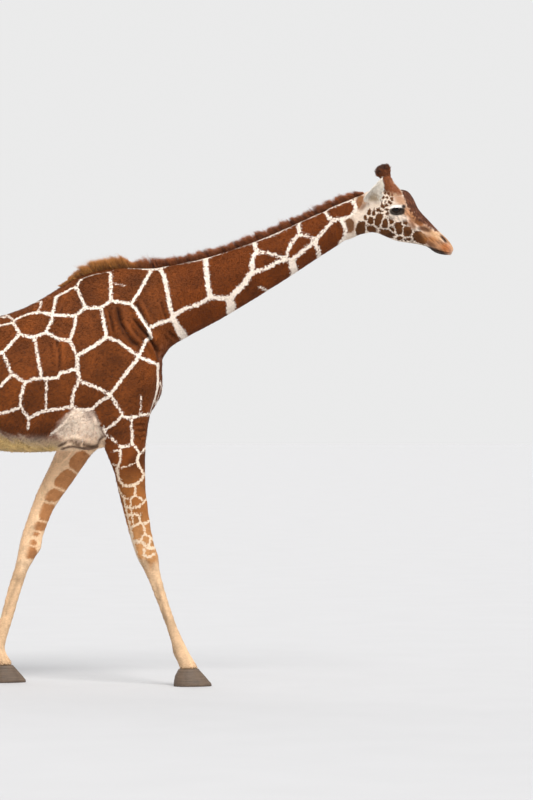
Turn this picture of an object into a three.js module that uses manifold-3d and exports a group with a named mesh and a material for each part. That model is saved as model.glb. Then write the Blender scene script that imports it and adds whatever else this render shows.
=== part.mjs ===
// Reticulated giraffe, a young adult cow in a slow walk, life size.
// Frame: +X ahead of the animal, +Y to its left, +Z up, the ground at z = 0.
// The origin is on the ground under the middle of the body's length.
// The body is made of lofted sections. A section is a line in the side view, from its upper (or front)
// point to its lower (or rear) point, with a half width and the height at which it is widest.
import * as THREE from "three";
import { LoftGeometry } from "three/addons/geometries/LoftGeometry.js";
import { mergeVertices } from "three/addons/utils/BufferGeometryUtils.js";
import Module from "manifold-3d";

const wasm = await Module();
wasm.setup();

// Driving sizes, in millimetres
const gap = 0.3; // clearance left between neighbouring pieces
const footSpread = 165; // sideways distance of each foot from the middle
const coronetHeight = 108; // top of the hooves
const hoof = { toe: 148, heel: 92, half: 82, cleft: 7 }; // of a pair of claws, from the leg's axis
const eye = { radius: 33, at: [1453, 91, 2935] };
const ossicone = { at: [1434, 48, 3030], lean: [-0.345, 0.07, 1], length: 190, shaft: 30, knob: 39 };
const ear = { root: [1312, 82, 2960], tip: [1371, 186, 3138], width: 122, bend: 20, thickness: 9 };
const nostril = { at: [1757, 50, 2757], size: [25, 9, 8], slope: 0.72 };
const mouth = { corner: [1652, 2724], front: [1784, 2659], opening: 2 };
const neckCut = { at: [55, 2320], lean: 0.055 }; // where the neck leaves the trunk
const headCut = { at: [1268, 2925], lean: -0.18 }; // where the head leaves the neck

// Colours and surfaces
const looks = {
  coat: { color: 0x8a4a2c, roughness: 0.85 },
  pale: { color: 0xd9bfa0, roughness: 0.85 },
  hair: { color: 0x5a2a1a, roughness: 0.8 },
  black: { color: 0x1c1512, roughness: 0.7 },
  eye: { color: 0x0b0706, roughness: 0.08 },
  horn: { color: 0x4a3d35, roughness: 0.55 },
};

// A station: upper point, lower point, half width, then where it is widest (0 low, 1 high), how full
// it is above and below that (2 is an ellipse, less is sharper, more is boxier), and its sideways place
function station(topX, topZ, lowX, lowZ, half, wide = 0.5, above = 2, below = 2, y = 0) {
  return [topX, topZ, lowX, lowZ, half, wide, above, below, y];
}

// Smooth rows between the stations, by cubic pieces over the distance travelled, up to row `fine`
function blend(rows, steps, fine = rows.length) {
  const middle = rows.map((r) => [(r[0] + r[2]) / 2, (r[1] + r[3]) / 2]);
  const along = [0];
  for (let i = 1; i < rows.length; i++) {
    const [a, b] = [middle[i - 1], middle[i]];
    along.push(along[i - 1] + Math.hypot(b[0] - a[0], b[1] - a[1]) + 1);
  }
  const slope = (i, k) => {
    const [a, b] = [Math.max(i - 1, 0), Math.min(i + 1, rows.length - 1)];
    return (rows[b][k] - rows[a][k]) / (along[b] - along[a]);
  };
  const out = [];
  for (let i = 0; i < rows.length - 1; i++) {
    const span = along[i + 1] - along[i];
    const count = i < fine ? steps : 1;
    for (let s = 0; s < count; s++) {
      const t = s / count;
      const [t2, t3] = [t * t, t * t * t];
      out.push(rows[i].map((a, k) => (2 * t3 - 3 * t2 + 1) * a + (3 * t2 - 2 * t3) * rows[i + 1][k]
        + (t3 - 2 * t2 + t) * span * slope(i, k) + (t3 - t2) * span * slope(i + 1, k)));
    }
  }
  out.push(rows.at(-1));
  return out;
}

// The ring of points of one row. Swellings push its sides out around a place in the side view
function ring(row, count, grow, swellings) {
  const [topX, topZ, lowX, lowZ, half, wide, above, below, y] = row;
  const up = new THREE.Vector3(topX - lowX, 0, topZ - lowZ);
  const depth = up.length();
  up.normalize();
  const points = [];
  for (let i = 0; i < count; i++) {
    const [c, s] = [Math.cos((i / count) * 2 * Math.PI), Math.sin((i / count) * 2 * Math.PI)];
    const power = 2 / (s > 0 ? above : below);
    const reach = (s > 0 ? depth * (1 - wide) : depth * wide) + grow;
    const side = Math.sign(c) * Math.abs(c) ** power * (half + grow);
    const rise = Math.sign(s) * Math.abs(s) ** power * reach + depth * wide;
    const p = new THREE.Vector3(lowX, y + side, lowZ).addScaledVector(up, rise);
    for (const swell of swellings) {
      const far = ((p.x - swell.x) ** 2 + (p.z - swell.z) ** 2) / swell.size ** 2;
      p.y += Math.sign(c) * Math.min(1, Math.abs(c) * 2) * swell.out * Math.exp(-far);
    }
    points.push(p);
  }
  return points;
}

function loft(rows, count, steps = 2, { grow = 0, swellings = [], fine } = {}) {
  const sections = blend(rows, steps, fine).map((row) => ring(row, count, grow, swellings));
  return solid(new LoftGeometry(sections, { closed: true, capStart: true, capEnd: true }));
}

function solid(geometry) {
  const bare = new THREE.BufferGeometry();
  bare.setAttribute("position", geometry.getAttribute("position"));
  bare.setIndex(geometry.getIndex());
  const merged = mergeVertices(bare, 1e-3);
  return new wasm.Manifold(new wasm.Mesh({
    numProp: 3,
    vertProperties: Float32Array.from(merged.getAttribute("position").array),
    triVerts: Uint32Array.from(merged.getIndex().array),
  }));
}

// A thin slab standing across the side view, to part one piece from the next
function slab(at, lean, thickness, height, width = 900) {
  const box = new THREE.BoxGeometry(thickness, width, height);
  box.rotateY(lean);
  box.translate(at[0], 0, at[1]);
  return solid(box);
}

function biggest(body) {
  return body.decompose().sort((a, b) => b.volume() - a.volume())[0];
}

const giraffe = new THREE.Group();

function add(name, body, look) {
  const { numProp, vertProperties, triVerts } = body.getMesh();
  const count = vertProperties.length / numProp;
  const position = new Float32Array(count * 3);
  for (let i = 0; i < count; i++)
    for (let k = 0; k < 3; k++) position[3 * i + k] = vertProperties[numProp * i + k];
  const geometry = new THREE.BufferGeometry();
  geometry.setAttribute("position", new THREE.BufferAttribute(position, 3));
  geometry.setIndex([...triVerts]);
  geometry.computeVertexNormals();
  const mesh = new THREE.Mesh(geometry, new THREE.MeshStandardMaterial({ metalness: 0, ...look }));
  mesh.name = name;
  giraffe.add(mesh);
}

// Trunk, from the rump to the root of the neck: the sections fan round the breast
const trunkRows = [
  station(-1645, 1880, -1652, 1745, 52), // buttock
  station(-1612, 1925, -1632, 1670, 118), // rump
  station(-1569, 1993, -1606, 1587, 178, 0.52), // root of the tail
  station(-1482, 2074, -1531, 1531, 222, 0.54, 1.9, 2.1), // back of the croup
  station(-1358, 2148, -1407, 1512, 246, 0.56, 1.8, 2.1), // hips
  station(-1184, 2223, -1209, 1472, 262, 0.52, 1.8, 2.2), // loin
  station(-998, 2285, -998, 1443, 288, 0.48, 1.8, 2.2), // last rib
  station(-825, 2347, -825, 1435, 298, 0.46, 1.75, 2.2), // barrel
  station(-663, 2446, -651, 1442, 288, 0.44, 1.65, 2.1), // girth
  station(-515, 2539, -490, 1448, 262, 0.42, 1.6, 2.0), // behind the shoulder
  station(-353, 2588, -329, 1468, 240, 0.42, 1.6, 1.9), // withers
  station(-217, 2595, -167, 1555, 226, 0.42, 1.65, 1.9), // shoulder
  station(-112, 2588, -62, 1674, 214, 0.42, 1.7, 1.9), // breast
  station(-31, 2590, -5, 1835, 196, 0.44, 1.75, 1.9), // point of the breast
  station(37, 2601, -2, 1980, 172, 0.45, 1.8, 1.9), // root of the neck
];
const neckRows = [
  station(99, 2616, 52, 2080, 152, 0.46, 1.8, 1.9),
  station(192, 2627, 186, 2158, 134, 0.48, 1.8, 1.9),
  station(335, 2666, 362, 2252, 120, 0.5, 1.8, 2.0),
  station(521, 2728, 580, 2382, 108, 0.5, 1.8, 2.0),
  station(707, 2802, 792, 2516, 98, 0.5, 1.85, 2.0),
  station(893, 2888, 985, 2643, 90, 0.5, 1.85, 2.0),
  station(1048, 2957, 1141, 2743, 84, 0.5, 1.9, 2.0),
  station(1159, 3002, 1234, 2786, 80, 0.5, 1.9, 2.0),
  station(1240, 3036, 1288, 2797, 78, 0.5, 1.9, 2.0),
  station(1290, 3040, 1310, 2812, 70, 0.5, 1.9, 2.0), // inside the back of the head
];

// Head, from the nape to the tip of the upper lip
const headRows = [
  station(1205, 3010, 1256, 2802, 66, 0.5, 1.9, 2.0), // inside the nape
  station(1271, 3052, 1302, 2800, 84, 0.5, 1.9, 2.0), // occiput
  station(1358, 3068, 1345, 2793, 100, 0.5, 2.0, 1.9), // ears
  station(1430, 3062, 1383, 2776, 108, 0.55, 2.0, 1.75), // ossicones
  station(1489, 3067, 1423, 2758, 108, 0.58, 2.0, 1.65), // brow
  station(1532, 3055, 1463, 2743, 98, 0.6, 1.9, 1.6), // front of the eye
  station(1567, 3008, 1507, 2736, 84, 0.58, 1.85, 1.7), // forehead ends
  station(1597, 2944, 1562, 2729, 70, 0.54, 1.9, 1.8), // front of the cheek
  station(1653, 2883, 1618, 2719, 59, 0.5, 2.0, 1.9), // bridge of the nose
  station(1703, 2829, 1662, 2702, 55, 0.5, 2.1, 2.0), // behind the nostrils
  station(1743, 2789, 1697, 2676, 57, 0.5, 2.2, 2.1), // nostrils
  station(1778, 2755, 1735, 2663, 52, 0.5, 2.2, 2.2), // lips
  station(1803, 2721, 1771, 2659, 41, 0.5, 2.2, 2.2), // upper lip
  station(1814, 2696, 1798, 2659, 24, 0.5, 2.1, 2.1),
];
const faceSwellings = [
  { x: 1462, z: 2945, size: 52, out: 13 }, // rim of the eye
  { x: 1440, z: 3000, size: 40, out: 5 }, // bone above it
  { x: 1400, z: 2850, size: 75, out: 7 }, // cheek muscle
  { x: 1752, z: 2752, size: 30, out: 5 }, // round the nostril
];

// A leg's rows run down it, front point then rear point; `y` is the side it stands on
function legRows(side, heights, out) {
  const rows = heights.map(([frontX, frontZ, rearX, rearZ, half, y, wide = 0.5, front = 2, rear = 2]) =>
    station(frontX, frontZ, rearX, rearZ, half, wide, front, rear, side * y));
  rows.push(station(out + 60, coronetHeight + gap, out - 54, coronetHeight + gap, 55, 0.5, 2, 2,
    side * footSpread));
  return rows;
}
const foreRight = legRows(-1, [
  [-215, 2430, -345, 2415, 26, 80], // top of the shoulder blade
  [-92, 2195, -425, 2164, 80, 138], // shoulder blade
  [-22, 1925, -440, 1862, 108, 160, 0.55], // point of the shoulder
  [-50, 1690, -425, 1650, 108, 160, 0.55], // upper arm
  [-81, 1518, -362, 1492, 90, 162, 0.55], // elbow
  [-90, 1407, -329, 1420, 78, 164, 0.55],
  [-90, 1327, -285, 1312, 69, 165, 0.55], // forearm
  [-87, 1203, -260, 1197, 60, 166, 0.52],
  [-71, 1079, -229, 1073, 52, 166],
  [-53, 955, -198, 955, 47, 165],
  [-36, 874, -174, 874, 49, 164],
  [-9, 796, -146, 794, 58, 164, 0.5, 2.2, 2.2], // knee
  [-3, 722, -112, 732, 50, 165, 0.5, 2.1, 2.1],
  [15, 645, -70, 642, 39, 165],
  [58, 502, -21, 515, 33, 165], // cannon
  [104, 366, 27, 384, 34, 165],
  [144, 276, 63, 280, 41, 165],
  [178, 204, 82, 190, 50, 165, 0.5, 2, 1.9], // fetlock
  [212, 148, 116, 132, 46, 165], // pastern
], 172);
const foreLeft = legRows(1, [
  [-235, 2430, -365, 2415, 26, 80],
  [-125, 2195, -455, 2164, 80, 138],
  [-72, 1925, -500, 1862, 108, 160, 0.55],
  [-150, 1690, -555, 1662, 106, 160, 0.55],
  [-329, 1518, -622, 1522, 88, 162, 0.55],
  [-434, 1424, -668, 1432, 77, 164, 0.55],
  [-477, 1362, -697, 1360, 70, 165, 0.55],
  [-552, 1252, -745, 1262, 62, 166, 0.52],
  [-620, 1159, -785, 1176, 55, 166],
  [-676, 1073, -820, 1079, 50, 165],
  [-718, 973, -860, 967, 47, 165],
  [-742, 899, -882, 893, 50, 164],
  [-752, 832, -896, 822, 58, 164, 0.5, 2.2, 2.2],
  [-794, 772, -906, 762, 50, 165, 0.5, 2.1, 2.1],
  [-837, 688, -930, 690, 39, 165],
  [-875, 570, -965, 578, 33, 165],
  [-925, 397, -1008, 412, 34, 165],
  [-961, 285, -1046, 292, 41, 165],
  [-982, 207, -1080, 190, 50, 165, 0.5, 2, 1.9],
  [-952, 150, -1042, 130, 46, 165],
], -992);
const hindRight = legRows(-1, [
  [-1262, 2060, -1560, 1960, 38, 158], // hip
  [-1180, 1770, -1664, 1735, 98, 152], // thigh
  [-1166, 1520, -1645, 1484, 98, 160, 0.55], // stifle
  [-1209, 1362, -1578, 1339, 80, 165, 0.55],
  [-1271, 1206, -1519, 1190, 60, 166, 0.6], // gaskin
  [-1306, 1066, -1488, 1066, 44, 166, 0.62],
  [-1313, 980, -1476, 992, 43, 165, 0.62, 2, 1.7], // point of the hock
  [-1302, 887, -1455, 887, 50, 165, 0.6, 2.1, 1.8],
  [-1288, 794, -1404, 781, 44, 165, 0.55],
  [-1270, 583, -1356, 572, 33, 165], // cannon
  [-1236, 360, -1318, 350, 34, 165],
  [-1221, 277, -1308, 266, 40, 165],
  [-1214, 206, -1320, 188, 49, 165, 0.5, 2, 1.9], // fetlock
  [-1178, 150, -1276, 130, 45, 165], // pastern
], -1222);
const hindLeft = legRows(1, [
  [-1268, 2060, -1566, 1960, 38, 158],
  [-1222, 1770, -1684, 1735, 98, 152],
  [-1265, 1520, -1696, 1474, 98, 160, 0.55],
  [-1345, 1362, -1684, 1324, 80, 165, 0.55],
  [-1445, 1206, -1680, 1180, 60, 166, 0.6],
  [-1507, 1066, -1684, 1060, 44, 166, 0.62],
  [-1532, 973, -1702, 990, 43, 165, 0.62, 2, 1.7],
  [-1540, 887, -1690, 870, 50, 165, 0.6, 2.1, 1.8],
  [-1570, 781, -1676, 765, 44, 165, 0.55],
  [-1624, 570, -1709, 554, 33, 165],
  [-1680, 347, -1763, 341, 34, 165],
  [-1694, 270, -1781, 257, 40, 165],
  [-1698, 206, -1802, 186, 49, 165, 0.5, 2, 1.9],
  [-1662, 150, -1758, 128, 45, 165],
], -1706);
const legs = {
  leg_fore_right: foreRight,
  leg_fore_left: foreLeft,
  leg_hind_right: hindRight,
  leg_hind_left: hindLeft,
};

// A pair of claws: one loft from the sole up to the coronet, split down the middle
function claws(x, side) {
  const half = hoof.half;
  const rows = [
    station(x - hoof.heel, 0, x + hoof.toe, 0, half, 0.62, 2.4, 1.7, side * footSpread),
    station(x - hoof.heel, 14, x + hoof.toe, 14, half + 1, 0.62, 2.4, 1.7, side * footSpread),
    station(x - hoof.heel + 8, 62, x + hoof.toe - 42, 62, half - 10, 0.58, 2.3, 1.8, side * footSpread),
    station(x - 60, coronetHeight, x + 63, coronetHeight, 58, 0.5, 2.1, 2, side * footSpread),
  ];
  const cleft = new THREE.BoxGeometry(400, hoof.cleft, 400);
  cleft.translate(x, side * footSpread, 0);
  return loft(rows, 16, 1).subtract(solid(cleft)).decompose();
}

// An ear: cupped leaf sections from its root to its tip, open to the side
function earSolid(side) {
  const root = new THREE.Vector3(ear.root[0], ear.root[1] * side, ear.root[2]);
  const tip = new THREE.Vector3(ear.tip[0], ear.tip[1] * side, ear.tip[2]);
  const axis = tip.clone().sub(root).normalize();
  const open = new THREE.Vector3(0.35, 0.85 * side, -0.3);
  open.addScaledVector(axis, -open.dot(axis)).normalize();
  const across = new THREE.Vector3().crossVectors(axis, open).normalize();
  const sections = [];
  const [rows, half] = [8, 5];
  for (let r = 0; r <= rows; r++) {
    const t = (r / rows) * 0.985;
    const width = ear.width * (1 - t) ** 1.35 * (0.45 + 3.3 * t);
    const cup = width * (0.42 - 0.22 * t);
    const at = root.clone().lerp(tip, t).addScaledVector(open, 12 * Math.sin(Math.PI * t));
    at.x -= ear.bend * Math.sin(Math.PI * Math.sqrt(t));
    const points = [];
    const place = (u, thick) => points.push(at.clone().addScaledVector(across, (u * width) / 2)
      .addScaledVector(open, cup * (u * u - 0.5) + thick * (1 - 0.6 * u ** 4)));
    const thin = (ear.thickness / 2) * (1 - 0.35 * t);
    for (let i = 0; i <= half; i++) place((i / half) * 2 - 1, thin);
    for (let i = half; i >= 0; i--) place((i / half) * 2 - 1, -thin);
    sections.push(points);
  }
  return solid(new LoftGeometry(sections, { closed: true, capStart: true, capEnd: true }));
}

// An ossicone: a skin-covered shaft that flares into the skull, with a rounded knob
function ossiconeSolid(side, grow = 0) {
  const { length, shaft, knob } = ossicone;
  const profile = [[0, -30], [42, -28], [40, 0], [35, 26], [shaft + 1, 56], [shaft, length - 82],
    [shaft + 2, length - 62], [knob, length - 40], [knob, length - 22], [knob * 0.76, length - 6],
    [knob * 0.35, length], [0, length + 1]];
  const points = profile.map(([r, h]) => new THREE.Vector2(r ? r + grow : 0, h + (h > 0 ? grow : -grow)));
  const lathe = new THREE.LatheGeometry(points, 12);
  const lean = new THREE.Vector3(ossicone.lean[0], ossicone.lean[1] * side, ossicone.lean[2]).normalize();
  lathe.applyQuaternion(new THREE.Quaternion().setFromUnitVectors(new THREE.Vector3(0, 1, 0), lean));
  lathe.translate(ossicone.at[0], ossicone.at[1] * side, ossicone.at[2]);
  return solid(lathe);
}

function ball(radius, at, scale = [1, 1, 1], turn = 0) {
  const sphere = new THREE.SphereGeometry(radius, 12, 8);
  sphere.scale(...scale);
  sphere.rotateY(turn);
  sphere.translate(...at);
  return solid(sphere);
}

// The crest of hair over the withers and up the neck to the poll; its root lies inside the neck
const maneRows = [
  station(-626, 2489, -612, 2450, 14, 0.3),
  station(-521, 2573, -505, 2505, 28, 0.25, 1.8),
  station(-384, 2634, -378, 2545, 38, 0.25, 1.8),
  station(-250, 2653, -250, 2552, 42, 0.25, 1.8),
  station(-130, 2644, -130, 2550, 38, 0.25, 1.8),
  station(25, 2647, 28, 2555, 30, 0.25, 1.7),
  station(174, 2675, 184, 2595, 25, 0.25, 1.6),
  station(353, 2719, 372, 2640, 24, 0.25, 1.6),
  station(533, 2790, 556, 2705, 23, 0.25, 1.6),
  station(713, 2861, 742, 2780, 22, 0.25, 1.6),
  station(905, 2946, 935, 2865, 21, 0.25, 1.6),
  station(1097, 3032, 1118, 2950, 20, 0.25, 1.6),
  station(1170, 3055, 1180, 2985, 17, 0.3, 1.7),
  station(1215, 3052, 1222, 3000, 10, 0.4),
];

// Tail: a thin dock hanging clear of the rump (tip first), and the long tuft below it
const tailRows = [
  station(-1718, 1205, -1696, 1205, 13, 0.5),
  station(-1722, 1380, -1696, 1380, 15, 0.5),
  station(-1722, 1560, -1690, 1560, 18, 0.5),
  station(-1712, 1740, -1672, 1736, 22, 0.5),
  station(-1690, 1850, -1648, 1838, 26, 0.5),
  station(-1652, 1925, -1624, 1880, 30, 0.5),
  station(-1592, 1968, -1590, 1908, 32, 0.5),
  station(-1520, 1975, -1548, 1925, 30, 0.5),
];
const tuftRows = [
  station(-1694, 1205 - gap, -1719, 1205 - gap, 14),
  station(-1684, 1110, -1732, 1110, 26),
  station(-1678, 990, -1742, 990, 34),
  station(-1684, 870, -1738, 870, 28),
  station(-1700, 775, -1722, 775, 10),
];

// Joins and cuts
const headWhole = loft(headRows, 18, 2, { swellings: faceSwellings });
const bodyWhole = loft([...trunkRows, ...neckRows], 20, 2, { fine: trunkRows.length });
const flesh = bodyWhole.add(headWhole);
const partNeck = slab(neckCut.at, neckCut.lean, gap * 1.5, 900);
const partHead = slab(headCut.at, headCut.lean, gap * 1.5, 420);
const pieces = flesh.subtract(partNeck).subtract(partHead).decompose()
  .sort((a, b) => a.boundingBox().min[0] - b.boundingBox().min[0]);
let [trunk, neck, head] = pieces.filter((p) => p.volume() > 1e5);

for (const [name, rows] of Object.entries(legs)) {
  const leg = loft(rows, 14, 1);
  trunk = trunk.subtract(loft(rows, 14, 1, { grow: gap })).subtract(leg.translate([0, 0, 2 * gap]));
  add(name, leg, looks.coat);
}
trunk = biggest(trunk);
add("trunk", trunk, looks.coat);
add("neck", neck, looks.coat);

const slit = new THREE.BoxGeometry(Math.hypot(mouth.front[0] - mouth.corner[0], mouth.corner[1] - mouth.front[1]),
  200, mouth.opening);
slit.rotateY(Math.atan2(mouth.corner[1] - mouth.front[1], mouth.front[0] - mouth.corner[0]));
slit.translate((mouth.front[0] + mouth.corner[0]) / 2, 0, (mouth.front[1] + mouth.corner[1]) / 2);
head = head.subtract(solid(slit));
for (const side of [-1, 1]) {
  const word = side < 0 ? "right" : "left";
  const eyeAt = [eye.at[0], eye.at[1] * side, eye.at[2]];
  const nostrilAt = [nostril.at[0], nostril.at[1] * side, nostril.at[2]];
  head = head.subtract(ball(eye.radius + gap, eyeAt));
  head = head.subtract(ball(1, nostrilAt, nostril.size, nostril.slope));
  add(`eye_${word}`, ball(eye.radius, eyeAt), looks.eye);
}
for (const side of [-1, 1]) {
  const word = side < 0 ? "right" : "left";
  const horn = ossiconeSolid(side).subtract(headWhole.translate([0, 0, gap]));
  add(`ossicone_${word}`, biggest(horn), looks.coat);
  const shell = earSolid(side).subtract(headWhole.translate([0, 0, gap])).subtract(headWhole.translate([0, side * gap, 0]));
  add(`ear_${word}`, biggest(shell), looks.pale);
}
add("head", biggest(head), looks.coat);

const crest = loft(maneRows, 8, 1).subtract(bodyWhole).subtract(bodyWhole.translate([0, 0, gap]))
  .subtract(headWhole.translate([0, 0, gap]));
add("mane", biggest(crest), looks.hair);
const dock = loft(tailRows, 10, 1)
  .subtract(bodyWhole.translate([-gap, 0, 0])).subtract(bodyWhole);
add("tail", biggest(dock), looks.pale);
add("tail_tuft", loft(tuftRows, 10, 1), looks.black);

const feet = { fore_right: [172, -1], fore_left: [-992, 1], hind_right: [-1222, -1], hind_left: [-1706, 1] };
for (const [name, [x, side]] of Object.entries(feet)) {
  const pair = claws(x, side).sort((a, b) => a.boundingBox().min[1] - b.boundingBox().min[1]);
  add(`hoof_${name}_${side < 0 ? "outer" : "inner"}`, pair[0], looks.horn);
  add(`hoof_${name}_${side < 0 ? "inner" : "outer"}`, pair[1], looks.horn);
}

export default giraffe;
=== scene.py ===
# Reticulated giraffe, a young adult cow in a slow walk, life size, in metres.
# +X is ahead of the animal, its right side is -Y, the floor is z = 0.
import math
import bpy
import bmesh
import numpy as np
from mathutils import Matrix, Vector


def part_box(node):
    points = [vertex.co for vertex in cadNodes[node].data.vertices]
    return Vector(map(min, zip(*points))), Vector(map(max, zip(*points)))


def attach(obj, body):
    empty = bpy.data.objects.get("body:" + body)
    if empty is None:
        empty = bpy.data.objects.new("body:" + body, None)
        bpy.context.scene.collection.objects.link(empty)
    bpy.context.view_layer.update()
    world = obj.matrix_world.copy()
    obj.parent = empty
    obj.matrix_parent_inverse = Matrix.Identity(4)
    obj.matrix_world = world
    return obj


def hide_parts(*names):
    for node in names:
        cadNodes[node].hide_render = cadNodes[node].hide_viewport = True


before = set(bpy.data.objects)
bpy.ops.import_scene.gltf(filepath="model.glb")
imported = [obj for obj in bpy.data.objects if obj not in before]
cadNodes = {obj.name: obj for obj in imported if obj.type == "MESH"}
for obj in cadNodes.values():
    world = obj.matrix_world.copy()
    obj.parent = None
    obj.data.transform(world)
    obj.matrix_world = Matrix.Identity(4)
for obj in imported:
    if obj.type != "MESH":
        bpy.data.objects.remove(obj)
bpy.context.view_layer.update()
scene = bpy.context.scene

# camera, floor and light
studio = {
    "eye": (0.654, -24.0, 1.761),
    "lens": 174.2,
    "sensor": 36.0,
    "clip": (1.0, 400.0),
    "floorSize": 260.0,
    "floorColour": (0.500, 0.505, 0.520),
    "floorGrain": 0.03,
    "sky": (1.0, 1.0, 1.0),
    "skyStrength": 0.828,
    "lamps": [  # name, the way it comes from, strength, angle in degrees, colour
        ("key", (0.35, -0.80, 1.00), 2.82, 26, (1.0, 0.97, 0.93)),
        ("back", (-0.45, 0.95, 0.75), 0.72, 40, (1.0, 0.98, 0.95)),
    ],
}


def link(tree, source, output, target, socket):
    tree.links.new(source.outputs[output], target.inputs[socket])


def setInputs(node, **values):
    # socket names are written with _ for a space
    for key, value in values.items():
        node.inputs[key.replace("_", " ")].default_value = value


def nodeOf(tree, kind, **values):
    node = tree.nodes.new("ShaderNode" + kind)
    for key, value in values.items():
        if hasattr(node, key):
            setattr(node, key, value)
        else:
            setInputs(node, **{key: value})
    return node


def noiseOf(tree, source, output, **values):
    noise = nodeOf(tree, "TexNoise", **values)
    link(tree, source, output, noise, "Vector")
    return noise


def mappedPlace(tree, place, output, **values):
    turned = nodeOf(tree, "Mapping", **values)
    link(tree, place, output, turned, "Vector")
    return turned


def spanOf(tree, source, output, fromLow, fromHigh, toLow, toHigh):
    # carries one span of values over to another
    span = nodeOf(tree, "MapRange", From_Min=fromLow, From_Max=fromHigh, To_Min=toLow, To_Max=toHigh)
    link(tree, source, output, span, "Value")
    return span


def scaledColour(tree, source, output, tone, toneOutput):
    scaled = nodeOf(tree, "VectorMath", operation="SCALE")
    link(tree, source, output, scaled, 0)
    link(tree, tone, toneOutput, scaled, "Scale")
    return scaled


def halved(tree, source, output):
    half = nodeOf(tree, "Math", operation="MULTIPLY")
    half.inputs[1].default_value = 0.5
    link(tree, source, output, half, 0)
    return half


def newMaterial(name):
    material = bpy.data.materials.new(name)
    material.use_nodes = True
    tree = material.node_tree
    return material, tree, tree.nodes["Principled BSDF"]


def makeStudio():
    camera = bpy.data.cameras.new("camera")
    camera.lens = studio["lens"]
    camera.sensor_width = studio["sensor"]
    camera.clip_start, camera.clip_end = studio["clip"]
    holder = bpy.data.objects.new("camera", camera)
    holder.location = studio["eye"]
    holder.rotation_euler = (math.radians(90), 0, 0)
    scene.collection.objects.link(holder)
    scene.camera = holder

    bpy.ops.object.select_all(action="DESELECT")
    bpy.ops.mesh.primitive_plane_add(size=studio["floorSize"], location=(0, 0, 0))
    floor = bpy.context.object
    floor.name = "floor"
    material, tree, shader = newMaterial("floorPaper")
    setInputs(shader, Roughness=0.9, Specular_IOR_Level=0.1)
    grain = noiseOf(tree, nodeOf(tree, "TexCoord"), "Object", Scale=2.0, Detail=4.0)
    tint = nodeOf(tree, "ValToRGB")
    for end, tone in zip(tint.color_ramp.elements, (1 - studio["floorGrain"], 1 + studio["floorGrain"])):
        end.color = (*[c * tone for c in studio["floorColour"]], 1)
    link(tree, grain, "Fac", tint, "Fac")
    link(tree, tint, "Color", shader, "Base Color")
    floor.data.materials.append(material)

    world = bpy.data.worlds.new("studio")
    world.use_nodes = True
    setInputs(world.node_tree.nodes["Background"], Color=(*studio["sky"], 1), Strength=studio["skyStrength"])
    scene.world = world

    for name, way, strength, angle, tint in studio["lamps"]:
        lamp = bpy.data.lights.new(name, "SUN")
        lamp.energy, lamp.color, lamp.angle = strength, tint, math.radians(angle)
        holder = bpy.data.objects.new(name, lamp)
        holder.location = Vector(way) * 10
        holder.rotation_euler = Vector(way).to_track_quat("Z", "Y").to_euler()
        scene.collection.objects.link(holder)
    scene.view_settings.view_transform = "Standard"


makeStudio()
print("studio made")


# meshes as arrays
def arrayOf(items, key, wide, kind=np.float32):
    flat = np.empty(len(items) * wide, kind)
    items.foreach_get(key, flat)
    return flat.reshape(-1, wide)


def coordsOf(mesh):
    return arrayOf(mesh.vertices, "co", 3).astype(float)


def normalsOf(mesh):
    return arrayOf(mesh.vertex_normals, "vector", 3).astype(float)


def edgesOf(mesh):
    return arrayOf(mesh.edges, "vertices", 2, np.int32)


def putCoords(mesh, co):
    mesh.vertices.foreach_set("co", co.astype(np.float32).ravel())
    mesh.update()


def smoothShaded(piece):
    faces = piece.data.polygons
    faces.foreach_set("use_smooth", np.ones(len(faces), bool))


def ramp(value, low, high):
    t = np.clip((value - low) / (high - low), 0, 1)
    return t * t * (3 - 2 * t)


def bell(distance, size):
    return np.exp(-((distance / size) ** 2))


def unit(vectors):
    return vectors / np.maximum(np.linalg.norm(vectors, axis=1), 1e-9)[:, None]


def alongSkin(ways, outs):
    # what is left of each way when it is laid down on the surface
    return ways - outs * (ways * outs).sum(1)[:, None]


def spread(values, edges, share, rounds):
    # moves every value towards the mean of its neighbours, by its own share
    count = len(values)
    a, b = edges[:, 0], edges[:, 1]
    degree = np.bincount(a, minlength=count) + np.bincount(b, minlength=count)
    out = values.copy()
    for _ in range(rounds):
        mean = np.empty_like(out)
        for k in range(out.shape[1]):
            total = np.bincount(a, out[b, k], count) + np.bincount(b, out[a, k], count)
            mean[:, k] = total / np.maximum(degree, 1)
        out += share[:, None] * (mean - out)
    return out


def relax(co, edges, share, rounds):
    # smooths the facets away, then gives back what the smoothing took from the form
    soft = spread(co, edges, share, rounds)
    return soft + spread(co - soft, edges, share, rounds)


def wavy(points, size, seed, count=8):
    # a smooth random field of about unit strength, features `size` across
    random = np.random.default_rng(seed)
    total = np.zeros(len(points))
    for _ in range(count):
        way = random.normal(size=points.shape[1])
        way *= random.uniform(0.6, 1.4) * 2 * math.pi / (size * np.linalg.norm(way))
        total += np.sin(points @ way + random.uniform(0, 6.28))
    return total / math.sqrt(count / 2)


def wavyPair(points, size, seed):
    return np.stack([wavy(points, size, seed), wavy(points, size, seed + 1)], 1)


def copyOfNode(name, grow=0.0):
    data = cadNodes[name].data.copy()
    data.materials.clear()
    piece = bpy.data.objects.new("copy_" + name, data)
    scene.collection.objects.link(piece)
    mesh = bmesh.new()
    mesh.from_mesh(data)
    bmesh.ops.remove_doubles(mesh, verts=mesh.verts, dist=1e-5)
    bmesh.ops.recalc_face_normals(mesh, faces=mesh.faces)
    mesh.to_mesh(data)
    mesh.free()
    if grow:
        putCoords(data, coordsOf(data) + grow * normalsOf(data))
    return piece


def choose(*pieces):
    bpy.ops.object.select_all(action="DESELECT")
    for piece in pieces:
        piece.select_set(True)
    bpy.context.view_layer.objects.active = pieces[0]


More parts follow.
